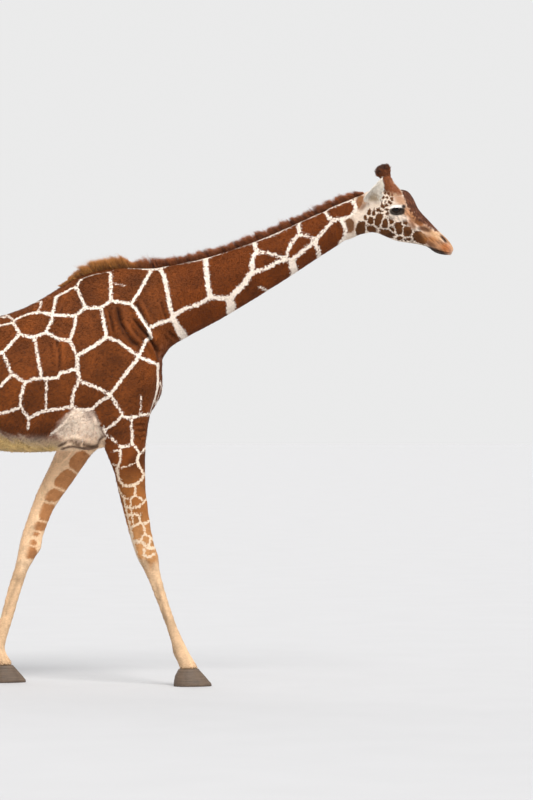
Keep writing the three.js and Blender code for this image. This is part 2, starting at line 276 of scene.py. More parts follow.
def joined(pieces, name):
    choose(*pieces)
    if len(pieces) > 1:
        bpy.ops.object.join()
    pieces[0].name = pieces[0].data.name = name
    return pieces[0]


def remesh(piece, voxel):
    choose(piece)
    change = piece.modifiers.new("remesh", "REMESH")
    change.mode, change.voxel_size, change.use_smooth_shade = "VOXEL", voxel, True
    bpy.ops.object.modifier_apply(modifier=change.name)


def roundBall(name, radius, at, segments=32):
    bpy.ops.object.select_all(action="DESELECT")
    bpy.ops.mesh.primitive_uv_sphere_add(segments=segments, ring_count=segments // 2, radius=radius,
                                         location=at)
    piece = bpy.context.object
    piece.name = name
    bpy.ops.object.transform_apply(location=True, rotation=True, scale=True)
    return piece


# the side plan, on which folds and markings are drawn: x forwards and y downwards in steps of 6.2 mm
plan = {"step": 0.0062, "middle": (266.5, 400.0), "far": 24.0}
leftSide = {
    "legTop": 1.95,  # from here down the left legs are moved onto the right ones on the plan
    "legFull": 1.5,  # and from here down they lie on them fully
    "hindFrom": (-0.95, -1.2),
    "wander": 5.0,  # the left side's markings wander by this many steps
    "wanderSize": 0.75,
}


def toPlan(co):
    scale = plan["far"] / (plan["far"] + co[:, 1]) / plan["step"]
    across = plan["middle"][0] + (co[:, 0] - studio["eye"][0]) * scale
    down = plan["middle"][1] - (co[:, 2] - studio["eye"][2]) * scale
    return np.stack([across, down], 1)


def legAxis(name):
    # where the middle of a leg lies at each height
    co = coordsOf(cadNodes[name].data)
    heights = np.linspace(0.15, 2.0, 38)
    middle = []
    for height in heights:
        near = co[np.abs(co[:, 2] - height) < 0.075]
        middle.append((near[:, 0].min() + near[:, 0].max()) / 2 if len(near) else np.nan)
    middle = np.array(middle)
    good = ~np.isnan(middle)
    return heights[good], np.convolve(np.pad(middle[good], 2, "edge"), np.ones(5) / 5, "valid")


legNames = ["leg_fore_right", "leg_fore_left", "leg_hind_right", "leg_hind_left"]
axes = {name: legAxis(name) for name in legNames}


def axisAt(name, height):
    return np.interp(height, *axes[name])


def sidePlan(co):
    # both sides read the same plan: the left side is moved so that its legs fall on the right ones
    moved = co.copy()
    left = co[:, 1] > 0
    height = np.clip(co[:, 2], 0.15, leftSide["legTop"])
    fade = ramp(co[:, 2], leftSide["legTop"], leftSide["legFull"])
    fore = axisAt("leg_fore_right", height) - axisAt("leg_fore_left", height)
    hind = axisAt("leg_hind_right", height) - axisAt("leg_hind_left", height)
    share = ramp(co[:, 0], *leftSide["hindFrom"])
    shift = ((1 - share) * fore + share * hind) * fade
    moved[:, 0] += np.where(left, shift * ramp(co[:, 1], 0.0, 0.08), 0)
    moved[:, 1] = -np.abs(co[:, 1])
    where = toPlan(moved)
    # it wanders a little as well, less at the head and not on the legs
    strength = np.where(left, ramp(co[:, 1], 0.0, 0.2), 0) * np.where(co[:, 0] > 1.2, 0.15, 1.0)
    strength *= 1 - ramp(co[:, 2], 1.6, 1.3)
    return where + wavyPair(co[:, ::2], leftSide["wanderSize"], 5) * (strength * leftSide["wander"])[:, None]


# one skin over all the flesh
skinSizes = {
    "bodyVoxel": 0.0160,
    "headVoxel": 0.0062,
    "grow": 0.0012,  # how far the copies of the flesh are grown before they are joined
    "growTail": 0.007,
    "growHead": 0.0006,
    "growEar": 0.0003,
    "lid": 0.0045,
    "neckCut": (1.085, 0.0, 2.86),  # where body and head are sewn together
    "neckWay": (0.82, 0.0, 0.57),
    "coatDepth": 0.002,
}
softness = {  # how strongly the skin is smoothed
    "most": 0.62,
    "least": 0.03,
    "legs": 0.5,  # less on the legs and the neck
    "neck": 0.25,
    "rounds": 70,
    "head": 0.6,
    "headRounds": 26,
}
earRoot = (1.318, 0.095, 2.975)


def between(values, low, high):
    return (values > low) & (values < high)


def keepBiggest(mesh):
    # drops every loose bit of a bmesh but its largest
    mesh.verts.ensure_lookup_table()
    seen = np.zeros(len(mesh.verts), bool)
    groups = []
    for start in mesh.verts:
        if seen[start.index]:
            continue
        seen[start.index] = True
        stack, group = [start], []
        while stack:
            vert = stack.pop()
            group.append(vert)
            for edge in vert.link_edges:
                other = edge.other_vert(vert)
                if not seen[other.index]:
                    seen[other.index] = True
                    stack.append(other)
        groups.append(group)
    groups.sort(key=len, reverse=True)
    loose = [vert for group in groups[1:] for vert in group]
    if loose:
        bmesh.ops.delete(mesh, geom=loose, context="VERTS")


def cutAcross(piece, keepFront):
    mesh = bmesh.new()
    mesh.from_mesh(piece.data)
    keepBiggest(mesh)
    geom = mesh.verts[:] + mesh.edges[:] + mesh.faces[:]
    bmesh.ops.bisect_plane(mesh, geom=geom, dist=1e-5, plane_co=skinSizes["neckCut"],
                           plane_no=skinSizes["neckWay"], clear_inner=keepFront, clear_outer=not keepFront)
    keepBiggest(mesh)
    mesh.to_mesh(piece.data)
    mesh.free()


def refine(piece, wanted):
    # halves the faces that the rule picks from their corner coordinates
    mesh = bmesh.new()
    mesh.from_mesh(piece.data)
    picked = wanted(*coordsOf(piece.data).T)
    edges = [e for e in mesh.edges if picked[e.verts[0].index] and picked[e.verts[1].index]]
    bmesh.ops.subdivide_edges(mesh, edges=edges, cuts=1, use_grid_fill=True)
    bmesh.ops.triangulate(mesh, faces=[f for f in mesh.faces if len(f.verts) > 4])
    mesh.to_mesh(piece.data)
    mesh.free()


def sideWord(side):
    return "left" if side > 0 else "right"


def eyeAt(side):
    low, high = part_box("eye_" + sideWord(side))
    return (low + high) / 2, (high.z - low.z) / 2


def eyeGap(co):
    # distance to the middle of the nearer eye
    return np.minimum.reduce([np.linalg.norm(co - np.array(eyeAt(side)[0]), axis=1) for side in (-1, 1)])


def buildBody():
    parts = [copyOfNode("trunk", skinSizes["grow"]), copyOfNode("neck", skinSizes["grow"]),
             copyOfNode("tail", skinSizes["growTail"])]
    body = joined(parts + [copyOfNode(name, skinSizes["grow"]) for name in legNames], "body")
    remesh(body, skinSizes["bodyVoxel"])
    # finer faces for the shoulder's folds and for the lower legs
    refine(body, lambda x, y, z: between(x, -0.36, 0.04) & between(z, 1.96, 2.37) & (np.abs(y) > 0.06))
    refine(body, lambda x, y, z: between(z, 0.74, np.where(x > -0.95, 1.48, 1.16)) & (x > -1.68))
    co, edges = coordsOf(body.data), edgesOf(body.data)
    x, wide, height = co[:, 0], np.abs(co[:, 1]), co[:, 2]
    # thin parts are smoothed less, and the feet and the tail hardly at all
    thin = np.maximum(ramp(height, 1.72, 1.3), ramp(x, -1.62, -1.67) * ramp(wide, 0.08, 0.04))
    share = softness["most"] - softness["legs"] * thin - softness["neck"] * ramp(x, 0.0, 0.3)
    share = np.where(height < 0.14, softness["least"], share)
    tail = ramp(x, -1.655, -1.672) * ramp(wide, 0.06, 0.045) * ramp(height, 1.93, 1.86)
    share = np.where(tail > 0, softness["least"], share)
    co = relax(co, edges, np.clip(share, softness["least"], softness["most"]), softness["rounds"])
    putCoords(body.data, co)
    putCoords(body.data, co - 0.006 * tail[:, None] * normalsOf(body.data))
    cutAcross(body, False)
    print("body", len(body.data.vertices))
    return body


def buildHead():
    parts = [copyOfNode("neck", skinSizes["grow"]), copyOfNode("head", skinSizes["growHead"]),
             copyOfNode("ear_right", skinSizes["growEar"]), copyOfNode("ear_left", skinSizes["growEar"])]
    for side in (-1, 1):
        at, radius = eyeAt(side)
        parts.append(roundBall("lid", radius + skinSizes["lid"], at))
    head = joined(parts, "headSkin")
    remesh(head, skinSizes["headVoxel"])
    for reach in (0.060, 0.046):
        refine(head, lambda x, y, z: eyeGap(np.stack([x, y, z], 1)) < reach)
    refine(head, lambda x, y, z: (x > 1.66) & (z < 2.77))  # the muzzle
    co, edges = coordsOf(head.data), edgesOf(head.data)
    ear, root = np.zeros(len(co)), Vector(earRoot)
    for side in (-1, 1):
        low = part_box("ear_" + sideWord(side))[0]
        reach = (co[:, 2] - root.z) * 0.75 + (co[:, 1] * side - earRoot[1]) * 0.6
        box = ((co[:, 1] * side > 0.09) & between(co[:, 0], low.x - 0.01, 1.41))
        ear = np.maximum(ear, ramp(reach, -0.005, 0.03) * box)
    putCoords(head.data, relax(co, edges, softness["head"] - 0.5 * ear, softness["headRounds"]))
    cutAcross(head, True)
    print("head", len(head.data.vertices))
    return head


def sewNeck(body, head):
    skin = joined([body, head], "skin")
    mesh = bmesh.new()
    mesh.from_mesh(skin.data)
    rim = [edge for edge in mesh.edges if edge.is_boundary]
    bmesh.ops.bridge_loops(mesh, edges=rim)
    bmesh.ops.remove_doubles(mesh, verts=list({v for e in rim for v in e.verts}), dist=0.0008)
    bmesh.ops.recalc_face_normals(mesh, faces=mesh.faces)
    left = sum(edge.is_boundary for edge in mesh.edges)
    mesh.to_mesh(skin.data)
    mesh.free()
    co, edges = coordsOf(skin.data), edgesOf(skin.data)
    way = Vector(skinSizes["neckWay"]).normalized()
    away = np.abs((co - np.array(skinSizes["neckCut"])) @ np.array(way))
    putCoords(skin.data, spread(co, edges, 0.5 * ramp(away, 0.06, 0.0), 25))
    print("skin sewn,", left, "open edges")
    return skin


skin = sewNeck(buildBody(), buildHead())
skinTris = sum(len(face.vertices) - 2 for face in skin.data.polygons)
print("skin", len(skin.data.vertices), "points", skinTris, "triangles")
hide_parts("trunk", "neck", "head", "ear_right", "ear_left", "tail",
            "leg_fore_right", "leg_fore_left", "leg_hind_right", "leg_hind_left")
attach(skin, "root")


# muscle and bone on the side plan: middle x, y, half length, half height, turn in degrees, and how far it
# stands out in millimetres
swells = [
    (116, 325, 7, 26, -14, 9), (140, 372, 14, 22, 20, 7), (112, 398, 16, 13, -30, 9), (96, 425, 6, 7, 0, 6),
    (72, 372, 7, 26, 4, -8), (152, 392, 9, 13, 0, 6), (84, 306, 10, 14, -50, -5), (150, 322, 6, 16, -30, -7),
    (-38, 348, 9, 7, -20, 14), (-62, 400, 17, 26, 10, 10), (-28, 420, 12, 12, 40, -12), (-46, 452, 9, 12, 0, 8),
    (-84, 420, 6, 24, 8, -6), (-64, 362, 10, 7, -30, -5), (30, 372, 26, 24, 0, 5),
    (124, 452, 10, 15, 0, 5), (137, 458, 4, 16, -6, 3), (142, 478, 3, 30, -12, -3),
    (152, 549, 5, 5, 0, 5), (147, 560, 4, 4, 0, 4), (155, 566, 3.5, 4, 0, 4), (143, 549, 3, 6, 0, -4),
    (-60, 513, 4, 6, 0, 4), (-71, 516, 4, 6, 0, 4), (-64, 490, 3, 16, 14, -4), (-65, 535, 5, 5, 0, 3),
    (250, 262, 60, 5, -31, 3), (205, 318, 40, 4, -28, -4), (286, 268, 45, 3, -31, -3),
    (154, 541, 3, 4, 0, 5), (139, 556, 3, 5, -15, 5), (150, 571, 5, 3, 0, 4), (136, 536, 2.5, 8, -12, 5),
    # head: brow, hollow of the temple, cheekbone, jaw muscle, hollow before the eye, nostril rim, chin
    (396, 203.2, 7.5, 2.6, 0, 5), (386, 205, 3.0, 5.0, 0, -4), (404, 219.5, 13, 1.9, 32, 4.5),
    (379, 222, 9, 8.5, 20, 6), (413, 220.5, 6, 2.6, 42, -4.5), (419, 229, 8, 2.4, 36, 3),
    (393, 236.5, 16, 1.6, 14, 2.5), (441, 240.5, 4.8, 2.6, 48, 4), (434, 252, 5, 2.4, 15, 3.5),
    (428, 240, 7, 3.0, 38, -3), (396, 211, 10.5, 6.4, 0, 2.0), (372, 206, 5, 4, 0, -5),
]
# folds: width and depth in millimetres, least and greatest height in metres, then points on the side plan
foldText = """
20.9 13.5 0 9 115,304 117.5,313 120,323 122.5,333 131,343 139,350
17.1 12 0 9 130,315.8 138.3,325 146.7,335 155,346.7 160,355
15.2 9 0 9 121,322 126,332 133,341 140,347
17.1 10.5 0 9 133,301 140,311 145,321.7 151,331
15.2 9 0 9 147,332 151,341 156,351 160,362
13.3 6 0 9 108,309 111,322 113,334
15.2 7.5 0 9 55,337 58.3,348.3 59.2,360 58,371
13.3 4.5 0 9 66,300 62,307 60,313
15.2 18 1.38 9 60,446 66,442.5 73,441 82,443 92,446 100,443.5
11.4 12 1.38 9 64,449 72,446.5 80,448 89,449.5
11.4 6 1.4 9 92,409 97,419 99,430 98,442
9.5 4.5 1.4 9 103,427 101,436 99,446
9.5 5.25 0 9 134,424 140,425.5 147,423.5
9.5 5.25 0 9 134,430 140,431.6 147,429.6
9.5 5.25 0 9 134,436 140,437.6 147,435.6
26.6 15 0 9 157,338 158,348 161,357 167,362
13.3 6 0 9 168,330 172,336 178,340
11.4 4.5 0 9 160,300 163,312 168,322
8 4 0 9 -23,402 -22,417 -27,432 -34,444
7 4 0 9 -101,392 -96,405 -93,420
15.2 6 0.3 9 153,575 157,590 163,612 168,632
6 3 0 9 -59,545 -57,575 -53,612
2.6 2.6 2.2 9 386,215.8 391,218.0 397,218.8 403,217.4
2.2 2.0 2.2 9 388,206.0 393,204.4 399,204.6 404,206.6
2.0 1.6 2.2 9 404.5,211.5 408,214.5 411,218
1.8 1.6 2.2 9 384,209 386.5,210.6 388.4,211.4
2.6 6.5 2.2 9 423.5,244.8 428,247.8 433,249.8 438,250.8 443,251.6 448,252.8 452,253.6
2.4 2.2 2.2 9 420,242.6 423,246 424,249.5
3.4 8.5 2.2 9 441.8,236.8 444.4,239.4 446.6,242.4
2.0 2.0 2.2 9 437.5,239.5 440.5,242.6 443.5,245.6
1.8 1.2 2.2 9 427,236 431,239.5 435,243
1.8 1.2 2.2 9 424,239 428,243
2.2 1.6 2.2 9 372,232 378,236 386,239.5 396,241.5
"""


foldForm = {
    "bank": 0.50,
    "deep": 1.25,
    "start": 0.18,  # share of a fold's length over which it begins, and from which it ends
    "finish": 0.82,
    "chestSwell": 0.017,
    "earSwell": 0.019,
}


def inOval(where, x, y, long, high, turn):
    # place in the frame of a turned oval, in half lengths and half heights
    c, s = math.cos(math.radians(turn)), math.sin(math.radians(turn))
    dx, dy = where[:, 0] - x, where[:, 1] - y
    return (dx * c + dy * s) / long, (dy * c - dx * s) / high


def pointsOf(words):
    return [tuple(float(v) for v in word.split(",")) for word in words]


def besideLine(where, points):
    # distance to a line of points, and how far along it, from 0 to 1
    best, along = np.full(len(where), 1e3), np.zeros(len(where))
    pieces = list(zip(points, points[1:]))
    for i, (a, b) in enumerate(pieces):
        dx, dy = b[0] - a[0], b[1] - a[1]
        t = np.clip(((where[:, 0] - a[0]) * dx + (where[:, 1] - a[1]) * dy) / (dx * dx + dy * dy), 0, 1)
        gap = np.hypot(where[:, 0] - a[0] - t * dx, where[:, 1] - a[1] - t * dy)
        closer = gap < best
        best, along = np.where(closer, gap, best), np.where(closer, (i + t) / len(pieces), along)
    return best, along


def earShareAt(co):
    # 1 on the ears and 0 elsewhere
    side = np.sign(co[:, 1])
    reach = (co[:, 2] - earRoot[2]) * 0.75 + (co[:, 1] * side - earRoot[1]) * 0.6
    low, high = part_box("ear_right")
    near = (np.abs(co[:, 1]) > 0.088) * (co[:, 0] < high.x + 0.01) * (co[:, 0] > low.x - 0.02)
    return ramp(reach, 0.0, 0.02) * near


def foldsAt(where, height, widen=1.0):
    # for each point: how deep it lies in the folds, and how high on their banks, both in millimetres
    deep, bank = np.zeros(len(where)), np.zeros(len(where))
    step = plan["step"] * 1000
    for row in foldText.strip().splitlines():
        words = row.split()
        width, depth, low, high = [float(word) for word in words[:4]]
        points = pointsOf(words[4:])
        pad = 4 * width / step
        lows, highs = np.min(points, 0) - pad, np.max(points, 0) + pad
        near = np.nonzero(between(where, lows, highs).all(1) & between(height, low, high))[0]
        if not len(near):
            continue
        gap, along = besideLine(where[near], points)
        gap *= step / widen
        fade = ramp(along, 0.0, foldForm["start"]) * ramp(along, 1.0, foldForm["finish"]) * depth
        deep[near] += fade * bell(gap, width * 0.6)
        bank[near] += fade * bell(gap - width * 1.5, width * 0.8)
    return deep, bank


def sculpt(mesh):
    co, normals = coordsOf(mesh), normalsOf(mesh)
    where = sidePlan(co)
    outward = np.abs(normals[:, 1])
    legSide = np.sign(co[:, 1]) * (co[:, 1] - np.sign(co[:, 1]) * 0.165)
    outward = outward * np.where(co[:, 2] < 1.4, ramp(legSide, -0.01, 0.02), 1)
    push = np.zeros(len(co))
    for *oval, out in swells:
        push += out / 1000 * bell(np.hypot(*inOval(where, *oval)), 1.0) * outward
    deep, bank = foldsAt(where, co[:, 2])
    push += (foldForm["bank"] * bank - foldForm["deep"] * deep) / 1000 * np.sqrt(outward)
    # the chest stands out over the foreleg
    chest = bell(np.hypot(*inOval(where, 161, 391, 9, 17, 0)), 1.0) * ramp(normals[:, 0], 0.2, 0.8)
    push += foldForm["chestSwell"] * chest * (co[:, 2] > 1.5)
    # the ear is broad and rounded behind
    ear = earShareAt(co)
    move = np.zeros_like(co)
    behind = ear * ramp(where[:, 0], 381, 373)
    move[:, 0] = -foldForm["earSwell"] * behind * bell((where[:, 1] - 200) / 8, 1.0)
    # the skin lies under its coat, but not at the lids, the ears and the hooves, and less on the head
    depth = skinSizes["coatDepth"] * ramp(eyeGap(co), 0.05, 0.08) * (1 - ear) * ramp(co[:, 2], 0.12, 0.3)
    push -= depth * (1 - 0.5 * ramp(co[:, 0], 1.2, 1.3))
    putCoords(mesh, co + push[:, None] * normals + move)


# the open eye: half its length, how far the lids lie above and below its middle, their thickness, and how
# far the skin inside them is sunk behind the eyeball
eyeShape = {"half": 0.037, "top": 0.0125, "bottom": -0.0245, "lid": 0.0040, "sink": 0.007, "lip": 0.0012}


def lidEdges(u):
    share = np.clip(np.abs(u) / eyeShape["half"], 0, 1)
    return eyeShape["top"] * (1 - share ** 3.4), eyeShape["bottom"] * (1 - share ** 2.1)


def shapeLids(mesh):
    co = coordsOf(mesh)
    for side in (-1, 1):
        at, radius = eyeAt(side)
        offset = co - np.array(at)
        u, out, v = offset[:, 0], offset[:, 1] * side, offset[:, 2]
        reach = np.linalg.norm(offset, axis=1)
        local = (reach < radius * 1.9) & (out > -0.002)
        top, bottom = lidEdges(u)
        inside = np.minimum(top - v, v - bottom)
        inside = np.where(np.abs(u) < eyeShape["half"], inside, -0.01)
        # the rim of each lid falls on its line
        rim = local & (np.abs(inside) < 0.0011) & (np.abs(u) < eyeShape["half"])
        v = np.where(rim & (np.abs(top - v) < np.abs(v - bottom)), top, np.where(rim, bottom, v))
        offset[:, 2] = v
        inside = np.where(rim, 0.0, inside)
        reach = np.maximum(np.linalg.norm(offset, axis=1), 1e-6)
        cover = radius + eyeShape["lid"]
        wanted = np.where(inside > 0.0003, radius - eyeShape["sink"], np.maximum(reach, cover))
        lip = bell(inside + 0.001, 0.0022) * (inside <= 0.0003) * eyeShape["lip"]
        wanted = np.where(inside <= 0.0003, wanted + lip, wanted)
        near = local & (reach < cover + 0.02)
        scaled = offset * (wanted / reach)[:, None]
        co = np.where(near[:, None], np.array(at) + scaled, co)
    putCoords(mesh, co)


sculpt(skin.data)
shapeLids(skin.data)
print("skin sculpted")


# markings, drawn on the side plan
def readLines(text, shift=0.0):
    # each row is a width, then the points of a line. Gives segments: two ends and half a width
    rows = []
    for row in text.strip().splitlines():
        width, *words = row.split()
        points = [(x + shift, y + shift) for x, y in pointsOf(words)]
        for a, b in zip(points, points[1:]):
            rows.append((*a, *b, float(width) / 2))
    return np.array(rows)


trunkLines = readLines("""
2.9 12,321 19,333
2.9 15,317 26,312 37,311 52,314
2.4 -14,326 0,324 10,322.5 13,321
2.2 10,314 13,319
2.9 52,314 55,294 75,285 84,306
2.6 76,286 78,278 80,275
1.4 40,302 37,311
2.9 52,314 75,315 84,307 100,307 110,300 130,303
3.2 130,303 134,307 141,318 148,328
3.2 110,268 110,300
2.9 130,303 138,292 144,281 150,270
2.9 75,315 74,325 69,340 76,355
2.9 52,314 50,322 45,331 57,338 69,340
2.9 19,333 27,336 33,336 45,332
2.9 19,333 10,343 2,352
2.9 2,352 10,372 24,382
2.9 24,382 33,378 41,378 57,377 60,372 77,368
3.1 33,336 36,350 41,378
3.4 76,355 92,346 106,336
2.9 106,336 103,322 100,307
2.9 106,336 118,341 138,356
2.9 138,356 150,361 160.4,365
7.0 161.2,365 163.4,378 163,390 161,401 156,412
3.1 138,356 142,347 145,340 150,337 149,332 148,328
3.2 138,356 125,373 110,393
3.6 76,355 77,368 78,380
3.2 78,380 94,386 110,394
2.9 78,380 74,388 72,395 71,405
3.0 71,405 77,409 85,409 92,408
2.9 92,408 100,400 110,395
2.9 110,395 116,404 122,415
2.7 122,415 127,417 131,417 143,414 155,413
2.4 122,415 113,423 103,430
2.9 24,382 20,395 20,407
2.9 20,407 24,412 28,418
2.9 28,418 36,413 45,410 58,408 71,406
2.2 46,379 45,395 45,408
2.9 -14,415 0,413 20,407
2.2 28,418 27,428
2.9 -14,390 0,385 10,375
1.2 140,395 140,413
1.2 112,283 118,283.5 124,285
2.2 73,411 64,422 50,434
2.4 40,302 40,292 34,284
2.4 10,314 5,300 8,290
2.4 162,380 167,384 174,381 190,391
2.4 160,402 166,399 175,403 190,399
2.4 156,412.5 166,417 178,413 190,421
2.4 174,381 176,392 175,403
""", 0.8)

neckLines = readLines("""
1.8 80,274 90,269 100,267 120,266.5 140,268 150,269.5 160,269 170,264 183,262.5 200,259.5 207,257.5 220,253
1.8 220,253 232,248.5 250,243 262,239 275,234 285,229 297,222.5 310,217 324,210.5 335,206 345,202 352,200.5
4 160.5,270 164,276 167,290 170,307 173,315.5
3.4 148,328 152,326.5 160,323 171,319.7
3.6 173,316 183,309.5 197,305 206,300 210,297
6 173,317 176,324.5 180,331
8 180,331 184.5,337.5
5 205.5,259 206.5,272 208,286 210.5,296
4.6 210.5,297 220,298.3 229,298
9 230,300 231,306 231,312
5.4 230,298 237,291 244,284 249,276 252,272
4.5 252,272 251.7,263 253.8,255 257,251.5 254.5,244.6 253.5,241
3 257,252 267,252.5 276.5,255.5 287,259.5
3.6 252,272.5 262,270 269,267 277,262 287,260
2.8 286,257 288,250 291.7,242.5 296.5,237 299,235
3.6 298.3,222 299,229 299,235
2.6 299,235 305,235.5 311,237.6 316,239.3
3.6 288,260 292,259.6 298.7,254.5 305.7,249 311.4,244.6 316,240
8 292,263 294,270
3 294,270 291,278
4.2 316,240 316,245 318.4,251 319,257
3 316,239 321,234.5 327,227 332.5,222 337,219.7
3 325,211 328.5,217.5 332,219.6 337,219.7
3.8 337,219.7 344,219 350.6,216.6 356,211.5 355.5,204.6 352,200.5
4 341,220 344,225 345.8,230 345,237 340,244
2.4 259.5,287 267,290.4
""")

foreLegLines = readLines("""
2.7 131,417 131.5,430 132.5,434.9 132,443.8
2 103.3,427 105.3,433 107.8,436.4 112.2,438.8 116.7,443.3 119.6,446.7
1.5 107,437 103,440 99,444
2.5 120.6,447 126.6,446.3 131.5,444.8
2 133,444.3 136.4,448.7 138.9,453.2
1.8 140,453.7 143.4,450.9 145.3,448.2 147,446
2.8 138.9,454.7 137.4,459.6 137.4,463 139.9,467.5
2 139.9,467.5 142.4,471.5 144.3,474.4 147,474
2.5 144.3,474.4 142.9,477.4 140.9,480.4 137.4,483.3 133.5,485.3 128.5,486.3 123.6,485.3 121.1,482.3 119.6,479.4
2.5 120.1,449.7 120.6,454.7 120.1,459.6 118.6,464.5 117.2,468.5 117.7,474.4 119.1,479.4
1.4 120.6,468 126.6,466.5 130.5,465 135.5,463
1.5 112.2,451.7 118.2,450.2
1.5 113.2,464.5 117.7,466
1.6 118.6,488.3 121,493.5 125,498.4 131,498.4 134.6,496
2.2 135,485.5 135,491 134.6,496
1.7 134.6,496 139.5,498 143.2,500.4
2 148,497.6 143.2,503 139,506.4 131,508 125,506.4
1.5 130.8,498.6 130.4,507
1.5 132,508.4 131.5,514.8
1.7 125.5,515 132,515 136,514.2 139,517 141,513.8
1.6 131.8,515.4 133.5,524.4
1.6 139,517 140.5,522.8
2.1 130,528.4 134,525.6 140,523 145,523 150.6,520.6
1.6 142.5,523.6 144,527 145,532 145.4,534.6
1.8 141,540 141.5,536.4 145.2,534.5 149,536 152,539 155.5,540.4
1.8 141,540 144,544 147,548 154,548 157,545
1.4 150,538.6 149.6,543.6 148,547.6
2.6 133,541 140,542
1.6 144,549 144,555 148,557.6 154.5,554
1.5 118,487 124,499 130,527
2.4 130,527 133,544 135.5,554 141,566
""")

# middles of the patches behind the drawn lines: haunch, thigh and the leg down to the hock
haunchMiddles = np.array([
    (-6, 313), (-31, 325), (-56, 336), (-76, 351), (-8, 337), (-33, 345), (-57, 358), (-80, 371), (-94, 366),
    (-12, 367), (-39, 372), (-63, 384), (-87, 393), (-101, 384), (2, 399), (-25, 401), (-51, 410), (-76, 417),
    (-97, 407), (-4, 427), (-34, 432), (-58, 437), (-84, 442), (-43, 457), (-66, 464), (-88, 463), (-48, 480),
    (-67, 487), (-80, 480), (-52, 500), (-66, 507), (-76, 499), (-50, 514), (-62, 522), (-73, 517), (-57, 531),
    (-70, 534), (-80, 530), (8, 299), (-17, 297), (-41, 304), (-64, 314), (-88, 328), (-104, 342), (-118, 356),
    (-112, 372), (-118, 392), (-112, 412), (-106, 432), (-100, 450),
], float)
lineShape = {
    "haunch": 1.45,  # half width of the haunch's lines, in plan steps
    "haunchWobble": 1.6,
    "blend": 1.1,  # how far lines swell where they meet
    "reach": 14,
    "hockLine": 1.06,  # height of the ring from which the lower hind legs borrow the forelegs' lines
    "hockShift": 0.2,
    "round": 0.85,  # how much of the width of chest, back and rump is unrolled
    "rearEdge": ([300, 317, 319, 331, 334, 352, 371, 374, 428, 431],  # y, then x of the rearmost drawn lines
                 [14, 13, -9, -9, 19, 3, 9, -9, -9, 20]),
}


def toLines(where, segments):
    # least distance to the edge of any line, in plan steps: below zero inside a line
    best = np.full(len(where), 99.0)
    pad, blend = lineShape["reach"], lineShape["blend"]
    for ax, ay, bx, by, half in segments:
        near = (between(where[:, 0], min(ax, bx) - pad, max(ax, bx) + pad)
                & between(where[:, 1], min(ay, by) - pad, max(ay, by) + pad))
        index = np.nonzero(near)[0]
        if not len(index):
            continue
        px, py = where[index, 0] - ax, where[index, 1] - ay
        dx, dy = bx - ax, by - ay
        t = np.clip((px * dx + py * dy) / (dx * dx + dy * dy + 1e-9), 0, 1)
        gap = np.hypot(px - t * dx, py - t * dy) - half
        # lines swell a little where they meet
        old = best[index]
        h = np.clip(0.5 + 0.5 * (old - gap) / blend, 0, 1)
        low = old * (1 - h) + gap * h - blend * h * (1 - h) * (np.abs(old) < 50) * 0.4
        best[index] = np.minimum(np.minimum(old, gap), low)
    return best


def toBorders(where, middles, half):
    # distance to the border between the two nearest middles
    gaps = np.stack([np.hypot(where[:, 0] - x, where[:, 1] - y) for x, y in middles], 1)
    order = np.argpartition(gaps, 1, axis=1)[:, :2]
    row = np.arange(len(where))
    first, second = order[:, 0], order[:, 1]
    swap = gaps[row, first] > gaps[row, second]
    first, second = np.where(swap, second, first), np.where(swap, first, second)
    between = np.hypot(*(middles[first] - middles[second]).T)
    return (gaps[row, second] ** 2 - gaps[row, first] ** 2) / (2 * between) - half


def behindDrawn(where):
    # how far behind the rearmost drawn line of the trunk a place is, in plan steps
    return np.interp(where[:, 1], *lineShape["rearEdge"]) - where[:, 0]


def unrolled(co, normals):
    # the side plan carried on round the chest, the back and the rump
    where = sidePlan(co)
    x, wide, z = co[:, 0], np.abs(co[:, 1]), co[:, 2]
    step, taken = plan["step"], lineShape["round"]
    body = (z > 1.2) & (x < 0.2)
    front = ramp(normals[:, 0], 0.3, 0.9) * ramp(z, 1.5, 1.62) * ramp(z, 2.12, 2.0) * (x > -0.4)
    top = ramp(normals[:, 2], 0.5, 0.95) * (x < -0.3) * (z > 1.8)
    rear = ramp(-normals[:, 0], 0.3, 0.9) * (x < -1.2) * (z > 1.2)
    around = front * np.maximum(0.19 - wide, 0) - rear * np.maximum(0.2 - wide, 0)
    where[:, 0] += body * around * taken / step
    where[:, 1] -= body * top * np.maximum(0.14 - wide, 0) * taken / step
    return where


def legPlan(name, height, count):
    # where the middle of a right leg lies across the plan
    return toPlan(np.stack([axisAt(name, height), np.full(count, -0.16), height], 1))[:, 0]


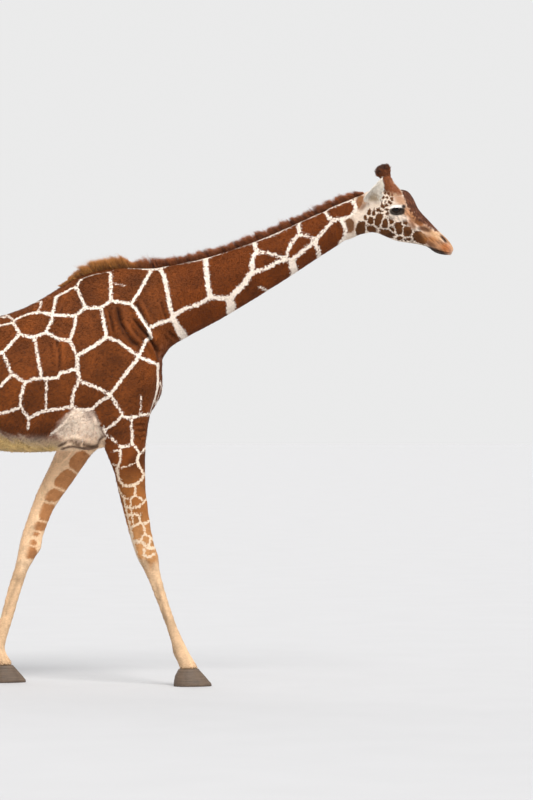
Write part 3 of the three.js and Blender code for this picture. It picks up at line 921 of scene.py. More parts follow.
def lineField(co, normals):
    # distance to the nearest pale line, in metres, below zero inside it, and where each point is on the plan
    where = unrolled(co, normals)
    height, count, step = co[:, 2], len(co), plan["step"]
    field = np.minimum(toLines(where, trunkLines), toLines(where, neckLines))
    wobble = wavyPair(co, 0.16, 21) * lineShape["haunchWobble"]
    rear = behindDrawn(where) > np.where(where[:, 1] < 318, 8, 0)
    half = lineShape["haunch"] * np.where(where[:, 1] > 470, 0.75, 1.0)
    haunch = toBorders(where + wobble, haunchMiddles, half)
    field = np.where(rear, np.minimum(field, haunch), field)
    # forelegs, with wider lines towards the knee
    fore = (where[:, 0] > 60) & (height < 1.68)
    widen = 0.10 * ramp(where[:, 1], 490, 520) + 0.45 * ramp(where[:, 1], 532, 544)
    field = np.where(fore, np.minimum(field, toLines(where, foreLegLines) - widen), field)
    # the lower hind legs borrow the forelegs' markings, below a ring of their own
    level, shift = lineShape["hockLine"], lineShape["hockShift"]
    hind = (where[:, 0] < 20) & (height < level + 0.05)
    hindX, foreX = legPlan("leg_hind_right", height, count), legPlan("leg_fore_right", height + shift, count)
    borrowed = np.stack([foreX + (where[:, 0] - hindX), where[:, 1] - shift / step], 1)
    rim = np.abs((height - level) / step + 1.2 * wavy(co, 0.1, 31)) - 1.0
    field = np.where(hind & (height < level), toLines(borrowed, foreLegLines), field)
    field = np.where(hind, np.minimum(field, rim), field)
    # finer lines on the neck
    field *= 1 - 0.3 * ramp(co[:, 0], 0.0, 0.2) * ramp(height, 1.9, 2.1)
    return field * step, where


# the head's patches and tints
facePatches = [  # middle x, y, half length, half height, turn in degrees
    (361.0, 228.5, 4.2, 6.2, 15), (370.7, 220.8, 2.9, 3.3, 0), (379.0, 219.8, 4.0, 5.8, 14),
    (385.0, 222.8, 3.5, 4.9, 20), (390.2, 220.8, 2.5, 4.2, -35), (392.8, 229.5, 2.2, 3.5, -40),
    (398.7, 228.5, 4.0, 5.5, -12), (407.2, 231.5, 3.8, 4.5, -15), (387.5, 233.5, 7.5, 2.9, 20),
    (371.8, 229.2, 5.2, 2.9, 25), (399.5, 238.2, 3.7, 2.1, 8), (408.8, 239.3, 4.3, 1.6, -3),
    (419.5, 238.5, 6.7, 5.0, 40), (417.0, 243.4, 4.8, 1.4, 15), (369.8, 211.8, 3.1, 1.6, 118),
    (373.8, 212.5, 1.8, 3.1, 0), (379.0, 210.5, 3.1, 2.0, 20), (365.5, 218.3, 1.5, 2.5, 0),
    (387.5, 214.0, 1.4, 1.7, 0), (386.8, 209.7, 1.7, 0.9, 0), (405.0, 221.8, 2.1, 2.4, 0),
    (419.0, 222.0, 3.8, 2.6, 30), (382.5, 206.5, 1.7, 2.0, 0),
    (359.4, 201.8, 2.5, 5.4, 22), (349.8, 225.6, 3.6, 5.6, 0),
    (413.0, 247.5, 5.0, 2.2, 18), (402.0, 245.0, 4.6, 2.2, 6), (390.0, 241.5, 5.0, 2.0, 14),
    (377.0, 237.0, 5.0, 2.2, 18), (366.0, 237.5, 4.0, 2.4, 0),
]


def ellipse(where, *oval):
    # 1 on the edge of a slightly squared oval, less inside it
    u, v = inOval(where, *oval)
    return (np.abs(u) ** 2.5 + np.abs(v) ** 2.5) ** 0.4


templeMiddles = np.array([  # of the small patches between the ear and the horn
    (381.6, 201.0), (385.4, 201.6), (389.0, 202.2), (383.0, 197.2), (387.0, 197.6), (391.0, 198.6),
    (381.2, 193.2), (384.8, 193.4), (388.6, 193.8), (392.4, 194.6), (383.4, 189.4), (387.2, 189.6),
    (391.0, 190.4), (386.6, 205.2),
])
faceShape = {
    "swell": 1.24,  # the patches are drawn small and swell until only a line is left between them
    "line": 0.55,
    "templeLine": 0.58,
    "temple": (386.4, 196.6, 6.8, 10.2, -8),
    "inEar": (373.0, 201, 5.6, 8.4, 15),
    "rearEdge": ([190, 200, 204, 211, 217, 220, 225, 230, 237, 244],  # y, then x where the head begins
                 [352, 354, 357, 357.5, 352, 344, 346, 348, 347, 342]),
    "stripe": ([399, 403, 405, 408, 411, 414, 419, 425, 431, 435, 441],  # x, then y of the nose stripe's edge
               [189, 195, 200.5, 208, 212.5, 216, 220, 225, 228.4, 230.5, 235]),
}


def headPatches(where):
    # how far inside a patch of the head each place is, in plan steps
    inside = np.stack([(faceShape["swell"] - ellipse(where, *patch)) * min(patch[2], patch[3])
                       for patch in facePatches], 1)
    two = np.partition(inside, -2, axis=1)[:, -2:]
    first, second = two[:, 1], two[:, 0]
    temple = np.minimum(toBorders(where, templeMiddles, faceShape["templeLine"]),
                        (1 - ellipse(where, *faceShape["temple"])) * 7)
    return np.maximum(np.minimum(first, (first - second) * 0.5 - faceShape["line"]), temple)


def onHead(where):
    # how far ahead of the head's rear edge, in plan steps
    return where[:, 0] - np.interp(where[:, 1], *faceShape["rearEdge"])


def colour(red, green, blue):
    # from the values of a colour picker to the linear ones that shaders use
    values = np.array([red, green, blue]) / 255
    return np.where(values <= 0.04045, values / 12.92, ((values + 0.055) / 1.055) ** 2.4)


def blended(under, over, share):
    return under * (1 - share[:, None]) + over * share[:, None]


def evenly(tint, count):
    return np.tile(tint, (count, 1))


def turnedBy(where, along, aside):
    # the plan turned, so that the first of its two ways runs along (along, aside)
    return (where[:, 0] * along + where[:, 1] * aside, where[:, 1] * along - where[:, 0] * aside)


tints = {
    "patch": colour(116, 59, 18),
    "patchDeep": colour(94, 46, 10),
    "patchNeck": colour(108, 51, 9),
    "patchLeg": colour(150, 93, 45),
    "patchFace": colour(96, 56, 24),
    "patchShank": colour(192, 140, 90),
    "line": colour(248, 234, 220),
    "lineLeg": colour(222, 198, 170),
    "lineFace": colour(232, 214, 196),
    # the belly's own pale cream, darkened and warmed with painted shade and painted bounce light from below
    "belly": colour(218, 186, 124),
    "bellyStreak": colour(140, 104, 62),
    "flap": colour(252, 230, 208),
    "flapStrand": colour(186, 142, 112),
    "gathered": colour(232, 202, 174),
    # spots on the inner legs, lightened with painted light against the shade of the body
    "innerPatchLit": colour(170, 110, 60),
    "noseStripe": colour(80, 45, 30),
    "noseDapple": colour(118, 74, 52),
    # painted shade in the creases behind the foreleg
    "creaseShade": colour(78, 46, 26),
    "shank": colour(206, 172, 136),
    "ear": colour(246, 238, 226),
    # the ear's dusky inside, partly its own colour and partly painted shade in its hollow
    "earInsideAndShade": colour(178, 152, 116),
}
faceTints = [  # x, y, half length, half height, turn, softness, strength, colour
    (361.0, 202.5, 5.5, 8.0, 20, 0.3, 0.75, colour(150, 102, 66)),
    (349.8, 225.6, 5.5, 8.0, 0, 0.3, 0.6, colour(150, 106, 74)),
    (401.0, 200.5, 6.5, 4.6, 30, 0.6, 0.80, colour(166, 114, 74)),
    (392.0, 191.5, 9.0, 4.5, 35, 0.5, 0.55, colour(158, 98, 60)),
    (421.0, 223.0, 16.0, 3.4, 40, 0.5, 0.75, colour(172, 120, 82)),
    (409.0, 213.5, 8.5, 5.6, 50, 0.5, 0.85, colour(178, 122, 80)),
    (416.0, 220.5, 8.5, 4.2, 38, 0.5, 0.70, colour(166, 114, 74)),
    (411.5, 224.5, 5.5, 3.6, 60, 0.5, 0.70, colour(150, 96, 58)),
    (425.0, 229.0, 6.5, 2.6, 14, 0.5, 0.85, colour(92, 52, 34)),
    (429.0, 235.0, 8.5, 5.0, 38, 0.5, 0.75, colour(184, 136, 96)),
    (436.5, 236.0, 7.0, 2.6, 40, 0.5, 0.75, colour(200, 156, 112)),
    (437.0, 244.6, 14.0, 5.6, 28, 0.35, 0.85, colour(168, 106, 52)),
    (447.0, 248.5, 6.5, 5.0, 60, 0.5, 0.80, colour(166, 96, 48)),
    (429.5, 243.5, 4.5, 2.4, 30, 0.6, 0.60, colour(120, 72, 44)),
    (436.5, 251.6, 12.0, 2.8, 20, 0.35, 0.95, colour(36, 17, 9)),
    (440.0, 234.0, 7.0, 2.8, 45, 0.4, 0.65, colour(192, 144, 98)),
    (447.5, 239.0, 7.5, 3.2, 48, 0.4, 0.80, colour(176, 122, 76)),
    (443.3, 238.6, 4.8, 1.5, 47, 0.5, 0.92, colour(56, 32, 22)),
    (451.8, 245.5, 1.5, 6.0, -20, 0.5, 0.60, colour(186, 132, 78)),
    (419.3, 221.8, 4.4, 2.9, 32, 0.35, 0.85, colour(98, 55, 26)),
    (424.5, 229.2, 6.0, 1.9, 16, 0.45, 0.80, colour(84, 48, 28)),
    (413.5, 226.0, 1.6, 3.6, -35, 0.6, 0.60, colour(112, 70, 38)),
    (404.6, 218.6, 2.0, 3.4, 30, 0.6, 0.55, colour(120, 76, 44)),
    (398.5, 217.4, 9.5, 3.0, 8, 0.5, 0.85, colour(228, 210, 194)),
    # dark lid margins round the eye, with painted shadow of the upper lashes
    (397.2, 211.0, 7.8, 4.4, 0, 0.16, 0.95, colour(30, 20, 15)),
    # pale upper lid, with a painted highlight along it
    (396.2, 206.9, 6.4, 1.9, -6, 0.35, 0.95, colour(240, 234, 228)),
    (403.8, 206.4, 1.9, 1.6, 20, 0.5, 0.95, colour(36, 22, 17)),
]


innerPatches = [  # on the inner side of a foreleg, set out on the left one
    (80.5, 461.5, 10, 8.0, -45), (66.0, 480.0, 10.8, 7.6, -42), (54.5, 495.0, 9.5, 5.6, -32),
    (47.0, 511.5, 6.0, 9.6, 18), (40.5, 526.0, 6.2, 4.6, -10), (36.5, 533.4, 3.0, 2.4, 0),
    (30.5, 552.0, 6.0, 6.0, 0), (33.5, 542.6, 3.4, 3.0, 0),
]


def inwards(co, normals):
    # 1 where the surface faces the middle plane of the animal, -1 where it faces away
    return -normals[:, 1] * np.sign(co[:, 1])


def onInnerLeg(co, normals):
    # share of patch on the inner sides of the forelegs
    height = co[:, 2]
    moved = co.copy()
    gap = axisAt("leg_fore_left", height) - axisAt("leg_fore_right", height)
    moved[:, 0] += np.where(co[:, 1] < 0, gap, 0)
    moved[:, 1] = 0.16
    where = toPlan(moved)
    rag = 0.05 * wavy(where, 1.6, 63)
    reach = np.sort([(1.16 - ellipse(where, *patch)) * min(patch[2], patch[3])
                     for patch in innerPatches], axis=0)
    reach = np.minimum(reach[-1], (reach[-1] - reach[-2]) * 0.5 - 0.5)
    inside = ramp(reach + 6 * rag, -0.25, 0.55)
    fade = ramp(where[:, 0] - np.interp(where[:, 1], [455, 475, 520, 560], [62, 50, 33, 22]), 0, 7)
    facing = ramp(inwards(co, normals), -0.2, 0.2)
    return inside * fade * facing * (co[:, 0] > -0.95) * ramp(height, 1.5, 1.44)


# painted shade: dark strokes along the creases where the skin gathers behind the foreleg
creaseShadeLines = readLines("""
1.8 59,446 64,443.5 69,441.5 74,441.5 79,443 84,445 90,447 96,446.5
1.4 62,449 68,447 74,446.5 80,447.8 86,449
1.2 70,441.5 76,445 82,448
2.8 84,448.2 90,448.8 97,446.5
1.4 97,446 99,441 102,437 106,436
""")  # where the skin gathers behind the foreleg


paleShape = {
    "flapRear": ([408, 422, 434, 446], [68, 58, 52, 62]),  # y, then x of the rear edge of the flap
    "flapFront": ([408, 420, 436, 446], [94, 99, 104, 101]),
    "flapTop": ([62, 72, 80, 92, 98], [417, 408, 409.5, 409, 415]),  # x, then y
    "flapShade": (90, 413, 7, 9, 0),
    "belly": (428, 439),  # y where the belly's pale tint begins and is full
    "bellySlant": ([-20, 0, 56, 66], [0, -1, -15, 0]),
    "shank": (0.80, 0.70),  # heights, in metres
}


def bodyShades(co, head):
    # the colours of patches and of lines on a clean coat
    count, x, height = len(co), co[:, 0], co[:, 2]
    blotch = wavy(co, 0.22, 41)
    patch = evenly(tints["patch"], count)
    patch = blended(patch, tints["patchDeep"], np.clip(0.35 + 0.35 * blotch, 0, 0.9) * ramp(x, 0.1, -0.1))
    patch = blended(patch, tints["patchNeck"], ramp(x, -0.05, 0.2) * ramp(height, 1.9, 2.1))
    patch = blended(patch, tints["patchLeg"], ramp(height, 1.40, 1.16))
    patch = blended(patch, tints["patchShank"], ramp(height, 1.14, 0.82) * 0.9)
    pale = blended(evenly(tints["line"], count), tints["lineLeg"], ramp(height, 1.6, 1.2))
    return blended(patch, tints["patchFace"], head * 1.0), blended(pale, tints["lineFace"], head * 1.0)


def flapAt(co, where):
    # the pale flap of skin between the foreleg and the belly, and the strands of hair on it
    x, y = where[:, 0], where[:, 1]
    along, down = turnedBy(where, 0.87, -0.50)
    strands = wavy(np.stack([along + 0.012 * (y - 425) ** 2, 0.12 * down], 1), 1.7, 55, 12)
    edgeX = x + 0.7 * wavy(where, 5, 56) + 0.5 * strands
    flap = ramp(edgeX - np.interp(y, *paleShape["flapRear"]), -2, 10)
    flap = flap * ramp(np.interp(y, *paleShape["flapFront"]) - edgeX, -1.0, 2.5)
    flap = flap * ramp(y - np.interp(edgeX, *paleShape["flapTop"]), -1.0, 3.0)
    flap = flap * (1 - 0.55 * ramp(ellipse(where, *paleShape["flapShade"]) + 0.1 * strands, 1.3, 0.3))
    return flap * ramp(y, 447, 440) * (np.abs(co[:, 1]) > 0.02) * (co[:, 2] > 1.4), strands


def paleParts(co, normals, where, patch, pale):
    # belly, flap, inner legs and shanks are pale, and patches fade into them in streaks
    count, x, y, height = len(co), where[:, 0], where[:, 1], co[:, 2]
    streaky = wavy(np.stack(turnedBy(where, 0.92, 0.38), 1) * np.array([0.16, 1.0]), 2.6, 54, 12)
    trunk = (height > 1.38) & (x < 105)
    ragged = 1.5 * wavy(co, 0.3, 52) + 1.9 * streaky
    slant = np.interp(x, *paleShape["bellySlant"])
    belly = np.where(trunk, ramp(y + ragged + slant, *paleShape["belly"]), 0) * ramp(x, 112, 98)
    belly = belly * ramp(x, -40, -22)
    flap, strands = flapAt(co, where)
    inner = ramp(inwards(co, normals) + 0.10 * wavy(co, 0.12, 57), -0.10, 0.40) * ramp(height, 1.72, 1.5)
    under = ramp(-normals[:, 2], 0.55, 0.92) * ramp(height, 1.7, 1.6) * (height > 1.35)
    shank = ramp(height + 0.02 * wavy(co, 0.08, 53), *paleShape["shank"])
    # belly and undersides: their pale cream, with painted shade and warm painted bounce light
    bellyShadedTint = blended(evenly(tints["belly"], count), tints["bellyStreak"],
                        np.clip(0.22 + 0.14 * streaky, 0, 0.7))
    flapTint = blended(evenly(tints["flap"], count), tints["flapStrand"],
                       np.clip(0.10 + 0.16 * strands, 0, 0.7))
    pale = blended(pale, bellyShadedTint, np.maximum(belly, under))
    pale = blended(pale, flapTint, flap)
    pale = blended(pale, tints["shank"] * 1.06, shank)
    # the inner sides of the legs are pale, and lighter again with painted light against the shade of the body
    pale = blended(pale, tints["shank"] * 1.35, inner * 0.85 * (1 - shank))
    gathered = ramp(x, 52, 64) * ramp(x, 112, 104) * ramp(y, 434, 440) * (height > 1.38)
    pale = blended(pale, tints["gathered"], gathered * 0.8)
    patch = blended(patch, pale, np.maximum.reduce([belly, flap * 0.95, inner, under, shank]))
    # spots on the inner legs, in a tint lightened with painted light
    spots = onInnerLeg(co, normals) * 0.9
    return [blended(tint, tints["innerPatchLit"], spots) for tint in (patch, pale)], flap


def faceParts(co, where, head, patch, pale):
    # the dark stripe down the nose lies over the soft tints of the face
    count, x = len(co), where[:, 0]
    low = np.interp(x, *faceShape["stripe"])
    dapple = (1.5 * wavy(co, 0.016, 58) + 0.8 * wavy(co, 0.037, 59)) * (1 - 0.65 * ramp(x, 416, 424))
    stripe = ramp(where[:, 1] - low + dapple, 1.4, -1.4) * ramp(x, 398.5, 400.5) * ramp(x, 441, 436)
    dark = blended(evenly(tints["noseStripe"], count), tints["noseDapple"],
                   np.clip(0.22 + 0.25 * wavy(co, 0.018, 60), 0, 1))
    for *oval, soft, strength, tint in faceTints:
        share = ramp(ellipse(where, *oval), 1 + soft, 1 - soft) * strength * head
        patch, pale = blended(patch, tint, share), blended(pale, tint, share)
    patch, pale = blended(patch, dark, stripe), blended(pale, dark, stripe)
    # the nose's sides are streaked along the face
    along, aside = turnedBy(where, 0.78, 0.62)
    streak = wavy(np.stack([along * 0.22, aside, co[:, 1] / plan["step"]], 1), 2.4, 61, 14)
    nose = head * ramp(x + where[:, 1], 598, 615) * ramp(x, 452, 446)
    return patch, pale, 1 + 0.20 * nose * np.clip(streak, -1.5, 1.5)


def paint(co, normals, earShare):
    # for each point: distance to the pale lines, the colour of a patch there, and of a line there
    field, where = lineField(co, normals)
    height, count = co[:, 2], len(co)
    head = onHead(where) > 0
    field = np.where(head & (height > 2.2), headPatches(where) * plan["step"] * 1.5, field)
    patch, pale = bodyShades(co, head)
    (patch, pale), flap = paleParts(co, normals, where, patch, pale)
    patch, pale, tone = faceParts(co, where, head, patch, pale)
    # ears: pale rims, dusky streaked inside, partly their own colour and partly painted shade in the hollow
    streaks = 0.15 * wavy(where * np.array([1, 0.3]), 1.6, 62)
    inEar = ramp(ellipse(where, *faceShape["inEar"]) + streaks, 1.2, 0.5)
    earTint = blended(evenly(tints["ear"], count), tints["earInsideAndShade"], inEar * 0.8)
    patch, pale = blended(patch, earTint, earShare), blended(pale, earTint, earShare)
    # painted shade in the depth of the folds and painted highlight on their banks
    deep, bank = foldsAt(where, height, 1.15)
    # painted shade along the creases behind the foreleg
    creaseShade = 0.85 * ramp(toLines(where, creaseShadeLines), 1.0, -0.4) * between(height, 1.38, 1.6)
    patch, pale = blended(patch, tints["creaseShade"], creaseShade), blended(pale, tints["creaseShade"], creaseShade)
    # the folds' painted shade and painted highlight, as a change of tone
    tone = tone * np.clip(1 - 0.040 * deep * (1 - 0.7 * flap) + 0.018 * bank, 0.42, 1.22)
    return field, patch * tone[:, None], pale * tone[:, None]


def setFloat(mesh, name, values):
    layer = mesh.attributes.new(name, "FLOAT", "POINT")
    layer.data.foreach_set("value", np.asarray(values, np.float32))


def setColour(mesh, name, values):
    layer = mesh.attributes.new(name, "FLOAT_COLOR", "POINT")
    full = np.concatenate([values, np.ones((len(values), 1))], 1)
    layer.data.foreach_set("color", full.astype(np.float32).ravel())


coatFinish = {
    "streak": (60, 160, 160),  # fine streaks along the hair
    "ragged": 0.0190,  # how far a line's border wanders, in metres
    "border": 0.0016,
    "blotch": (0.68, 1.28),  # darkest and brightest of the blotches in the patches
    "hair": (0.8, 1.2),
}


def coatMaterial(name):
    # patches and lines from the mesh's own attributes, with a ragged border, blotches and lie of the hair
    material, tree, shader = newMaterial(name)
    place = nodeOf(tree, "TexCoord")
    line = nodeOf(tree, "Attribute", attribute_name="line")
    patch = nodeOf(tree, "Attribute", attribute_name="patchTint")
    pale = nodeOf(tree, "Attribute", attribute_name="paleTint")
    ragged = noiseOf(tree, place, "Object", Scale=92.0, Detail=3.0, Roughness=0.6)
    shift = nodeOf(tree, "Math", operation="MULTIPLY_ADD")
    shift.inputs[1].default_value = 2 * coatFinish["ragged"]
    shift.inputs[2].default_value = -coatFinish["ragged"]
    link(tree, ragged, "Fac", shift, 0)
    moved = nodeOf(tree, "Math", operation="ADD")
    link(tree, line, "Fac", moved, 0)
    link(tree, shift, "Value", moved, 1)
    edge = nodeOf(tree, "MapRange", interpolation_type="SMOOTHSTEP", From_Min=-coatFinish["border"],
                  From_Max=coatFinish["border"])
    link(tree, moved, "Value", edge, "Value")
    cloud = noiseOf(tree, place, "Object", Scale=9.0, Detail=5.0, Roughness=0.6)
    cloudTone = spanOf(tree, cloud, "Fac", 0.3, 0.72, *coatFinish["blotch"])
    patchTone = scaledColour(tree, patch, "Color", cloudTone, "Result")
    mix = nodeOf(tree, "Mix", data_type="RGBA")
    link(tree, edge, "Result", mix, 0)
    link(tree, pale, "Color", mix, 6)
    link(tree, patchTone, 0, mix, 7)
    turned = mappedPlace(tree, place, "Object", Scale=coatFinish["streak"], Rotation=(0, 0.35, 0))
    hair = noiseOf(tree, turned, "Vector", Scale=1.0, Detail=4.0, Roughness=0.7)
    hairTone = spanOf(tree, hair, "Fac", 0.25, 0.75, *coatFinish["hair"])
    link(tree, scaledColour(tree, mix, 2, hairTone, "Result"), 0, shader, "Base Color")
    bump = nodeOf(tree, "Bump", Strength=0.5, Distance=0.0012)
    link(tree, hair, "Fac", bump, "Height")
    link(tree, bump, "Normal", shader, "Normal")
    link(tree, spanOf(tree, hair, "Fac", 0.0, 1.0, 0.55, 0.85), "Result", shader, "Roughness")
    setInputs(shader, Specular_IOR_Level=0.16, Sheen_Weight=0.05, Sheen_Roughness=0.4)
    return material


skinCo = coordsOf(skin.data)
field, patchTint, paleTint = paint(skinCo, normalsOf(skin.data), earShareAt(skinCo))
setFloat(skin.data, "line", field)
setColour(skin.data, "patchTint", patchTint)
setColour(skin.data, "paleTint", paleTint)
skin.data.materials.clear()
skin.data.materials.append(coatMaterial("coat"))
smoothShaded(skin)
print("skin painted")


# hair: tufts as thin solid spikes
def surfaceOf(mesh):
    # the triangles of a mesh: corners, middles, areas and the ways they face
    mesh.calc_loop_triangles()
    co, corners = coordsOf(mesh), arrayOf(mesh.loop_triangles, "vertices", 3, np.int32)
    a, b, c = co[corners[:, 0]], co[corners[:, 1]], co[corners[:, 2]]
    crossed = np.cross(b - a, c - a)
    return {"co": co, "normals": normalsOf(mesh), "corners": corners, "middles": (a + b + c) / 3,
            "areas": np.linalg.norm(crossed, axis=1) / 2, "faces": unit(crossed)}


def scatter(surface, share, count, seed):
    # `count` roots over a surface, thicker where `share` (one value for each triangle) is greater
    random = np.random.default_rng(seed)
    weight = surface["areas"] * share
    picked = np.searchsorted(np.cumsum(weight), random.random(count) * weight.sum())
    picked = np.minimum(picked, len(weight) - 1)
    a, b = random.random(count), random.random(count)
    over = a + b > 1
    a, b = np.where(over, 1 - a, a), np.where(over, 1 - b, b)
    parts = np.stack([1 - a - b, a, b], 1)
    corners = surface["corners"][picked]
    roots = (surface["co"][corners] * parts[:, :, None]).sum(1)
    outs = unit((surface["normals"][corners] * parts[:, :, None]).sum(1))
    return roots, outs, random


def lieOf(co, outs):
    # the way the hair lies: back and down on the body, down the legs, back along the face
    where = sidePlan(co)
    leg = ramp(co[:, 2], 1.75, 1.45)
    neck = ramp(co[:, 0], 0.0, 0.25)
    face = ramp(onHead(where), -2, 6) * (co[:, 2] > 2.2)
    way = np.tile(np.array([-0.9, 0, -0.42]), (len(co), 1))
    way = blended(way, np.array([-0.72, 0, -0.7]), neck)
    way = blended(way, np.array([-0.06, 0, -1.0]), leg)
    way = blended(way, np.array([-0.80, 0, 0.52]), face)
    way[:, 1] += 0.12 * wavy(co, 0.35, 71)
    way[:, 2] += 0.12 * wavy(co, 0.4, 72) * (1 - leg)
    return unit(alongSkin(way, outs))


unwrap = {
    "tail": 1.85,  # the animal starts this far behind the origin
    "scale": 0.115,  # of the sheets for the sides, the back and the belly
    "leftAt": 0.43,
    "innerAt": 0.385,
    "upperAt": 0.80,
    "lowerShift": 0.09,
    "endScale": 0.075,  # of the narrow sheets for what faces forwards or backwards
    "endAt": 0.875,
    "backShift": 0.25,
    "hindShift": 0.5,
}


def patchPlace(co, outs):
    # place on an unwrap of the body's own shape: lateral, inner, upper, lower, front and rear sheets
    x, y, z = co[:, 0] + unwrap["tail"], co[:, 1], co[:, 2]
    scale, endScale = unwrap["scale"], unwrap["endScale"]
    u = x * scale + np.where(outs[:, 1] < 0, 0.0, unwrap["leftAt"])
    v = z * scale + np.where(outs[:, 1] * y < 0, unwrap["innerAt"], 0.0)
    up = np.abs(outs[:, 2]) > 0.75
    u = np.where(up, x * scale, u)
    lower = np.where(outs[:, 2] > 0, 0.0, unwrap["lowerShift"])
    v = np.where(up, unwrap["upperAt"] + (y + 0.35) * scale + lower, v)
    ends = (np.abs(outs[:, 0]) > 0.8) & ~up
    u = np.where(ends, unwrap["endAt"] + (y + 0.33) * endScale, u)
    v = np.where(ends, z * endScale + np.where(outs[:, 0] > 0, 0.0, unwrap["backShift"])
                 + np.where(co[:, 0] < -0.9, unwrap["hindShift"], 0.0), v)
    return np.clip(np.stack([u, v], 1), 0.002, 0.995)


def meshOf(name, co, fours, threes):
    mesh = bpy.data.meshes.new(name)
    mesh.vertices.add(len(co))
    mesh.vertices.foreach_set("co", co.astype(np.float32).ravel())
    loops = np.concatenate([fours.ravel(), threes.ravel()]).astype(np.int32)
    mesh.loops.add(len(loops))
    mesh.loops.foreach_set("vertex_index", loops)
    starts = np.concatenate([np.arange(len(fours)) * 4, len(fours) * 4 + np.arange(len(threes)) * 3])
    mesh.polygons.add(len(starts))
    mesh.polygons.foreach_set("loop_start", starts.astype(np.int32))
    mesh.update(calc_edges=True)
    mesh.validate()
    piece = bpy.data.objects.new(name, mesh)
    scene.collection.objects.link(piece)
    return piece, loops


def growTufts(name, roots, outs, aims, length, width, lift, shades, random, rows=1, bend=0.0, sink=0.0015,
              flat=0.45):
    # `rows` rings of three points and a tip for each tuft; shades are (line, patch, pale) for each. Without a
    # lift the tufts stand the way they aim, and with one they lie on the surface and rise from it
    count = len(roots)
    if lift is None:
        lift, aims = np.zeros(count), unit(aims)
    else:
        aims = unit(aims - outs * (aims * outs).sum(1)[:, None] * 0.999)
    across = unit(np.cross(outs, aims))
    above = unit(np.cross(aims, across))
    points, steps = [], []
    sway = random.normal(size=count) * bend
    for row in range(rows):
        t = row / rows
        rise = length * (lift * t - 0.35 * lift * t * t)
        centre = (roots - outs * sink + aims * (length * t)[:, None] + above * rise[:, None]
                  + across * (sway * length * t * t)[:, None])
        wide = width * (1 - t) ** 0.6 / 2
        for k in range(3):
            angle = math.radians(90 + 120 * k)
            points.append(centre + across * (wide * math.cos(angle))[:, None]
                          + above * (wide * flat * math.sin(angle))[:, None])
            steps.append(t)
    points.append(roots - outs * sink + aims * length[:, None] + above * (length * 0.65 * lift)[:, None]
                  + across * (sway * length)[:, None])
    steps.append(1.0)
    each = len(points)
    co = np.stack(points, 1).reshape(-1, 3)
    base = (np.arange(count) * each)[:, None]
    fours = [base + np.array([[3 * r + k, 3 * r + (k + 1) % 3, 3 * r + 3 + (k + 1) % 3, 3 * r + 3 + k]])
             for r in range(rows - 1) for k in range(3)]
    last = 3 * (rows - 1)
    threes = [base + np.array([[last + k, last + (k + 1) % 3, each - 1]]) for k in range(3)]
    threes.append(base + np.array([[2, 1, 0]]))
    fours = np.concatenate(fours) if fours else np.empty((0, 4), int)
    piece, loops = meshOf(name, co, fours, np.concatenate(threes))
    mesh = piece.data
    line, patch, pale = shades
    setFloat(mesh, "line", np.repeat(line, each))
    setColour(mesh, "patchTint", np.repeat(patch, each, 0))
    setColour(mesh, "paleTint", np.repeat(pale, each, 0))
    setFloat(mesh, "tip", np.tile(np.array(steps), count))
    # each tuft has a small square of the unwrap round the place of its root
    corner = np.stack([np.array([k % 3 for k in range(each)]) / 3, np.array(steps)], 1) * 0.003 - 0.0015
    spots = (patchPlace(roots, outs)[:, None, :] + corner[None]).reshape(-1, 2)[loops]
    layer = mesh.uv_layers.new(name="OFBake")
    layer.data.foreach_set("uv", np.clip(spots, 0.0005, 0.9995).astype(np.float32).ravel())
    smoothShaded(piece)
    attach(piece, "root")
    return piece


def hairMaterial(name):
    # colours from the mesh, darker at the root, with a little change from tuft to tuft
    material, tree, shader = newMaterial(name)
    place = nodeOf(tree, "TexCoord")
    patch = nodeOf(tree, "Attribute", attribute_name="patchTint")
    tip = nodeOf(tree, "Attribute", attribute_name="tip")
    strand = noiseOf(tree, place, "Object", Scale=70.0, Detail=3.0, Roughness=0.7)
    both = nodeOf(tree, "Math", operation="MULTIPLY")
    link(tree, spanOf(tree, strand, "Fac", 0.25, 0.75, 0.7, 1.3), "Result", both, 0)
    link(tree, spanOf(tree, tip, "Fac", 0.0, 0.8, 0.62, 1.06), "Result", both, 1)
    link(tree, scaledColour(tree, patch, "Color", both, "Value"), 0, shader, "Base Color")
    setInputs(shader, Roughness=0.55, Specular_IOR_Level=0.25, Sheen_Weight=0.05)
    return material


hairFinish = hairMaterial("hair")


def plainShades(tint):
    # a tuft of one colour, on which the pale lines don't fall
    return np.ones(len(tint)), tint, tint


def bodyTints(roots, outs, aims, length, random, tone=0.16):
    # markings read at the middle of each tuft, so that its length straddles the border
    middle = roots + aims * (length * 0.45)[:, None]
    line, patch, pale = paint(middle, outs, earShareAt(roots))
    shade = np.clip(1 + tone * random.normal(size=len(roots)), 0.6, 1.45)
    shade = np.where(random.random(len(roots)) < 0.012, 1.9, shade)[:, None]
    return line, np.clip(patch * shade, 0, 1), np.clip(pale * (1 + (shade - 1) * 0.45), 0, 1)


coatPieces = {  # name: which part of the skin, tufts, length, width, lift, seed
    "coat_right": ("right", 44000, 0.018, 0.0032, 0.20, 101),
    "coat_left": ("left", 44000, 0.018, 0.0032, 0.20, 102),
    "coat_neck": ("neck", 44000, 0.016, 0.0029, 0.20, 103),
    "coat_head": ("head", 46000, 0.0085, 0.0019, 0.22, 105),
    "coat_legs": ("legs", 44000, 0.012, 0.0021, 0.20, 104),
}


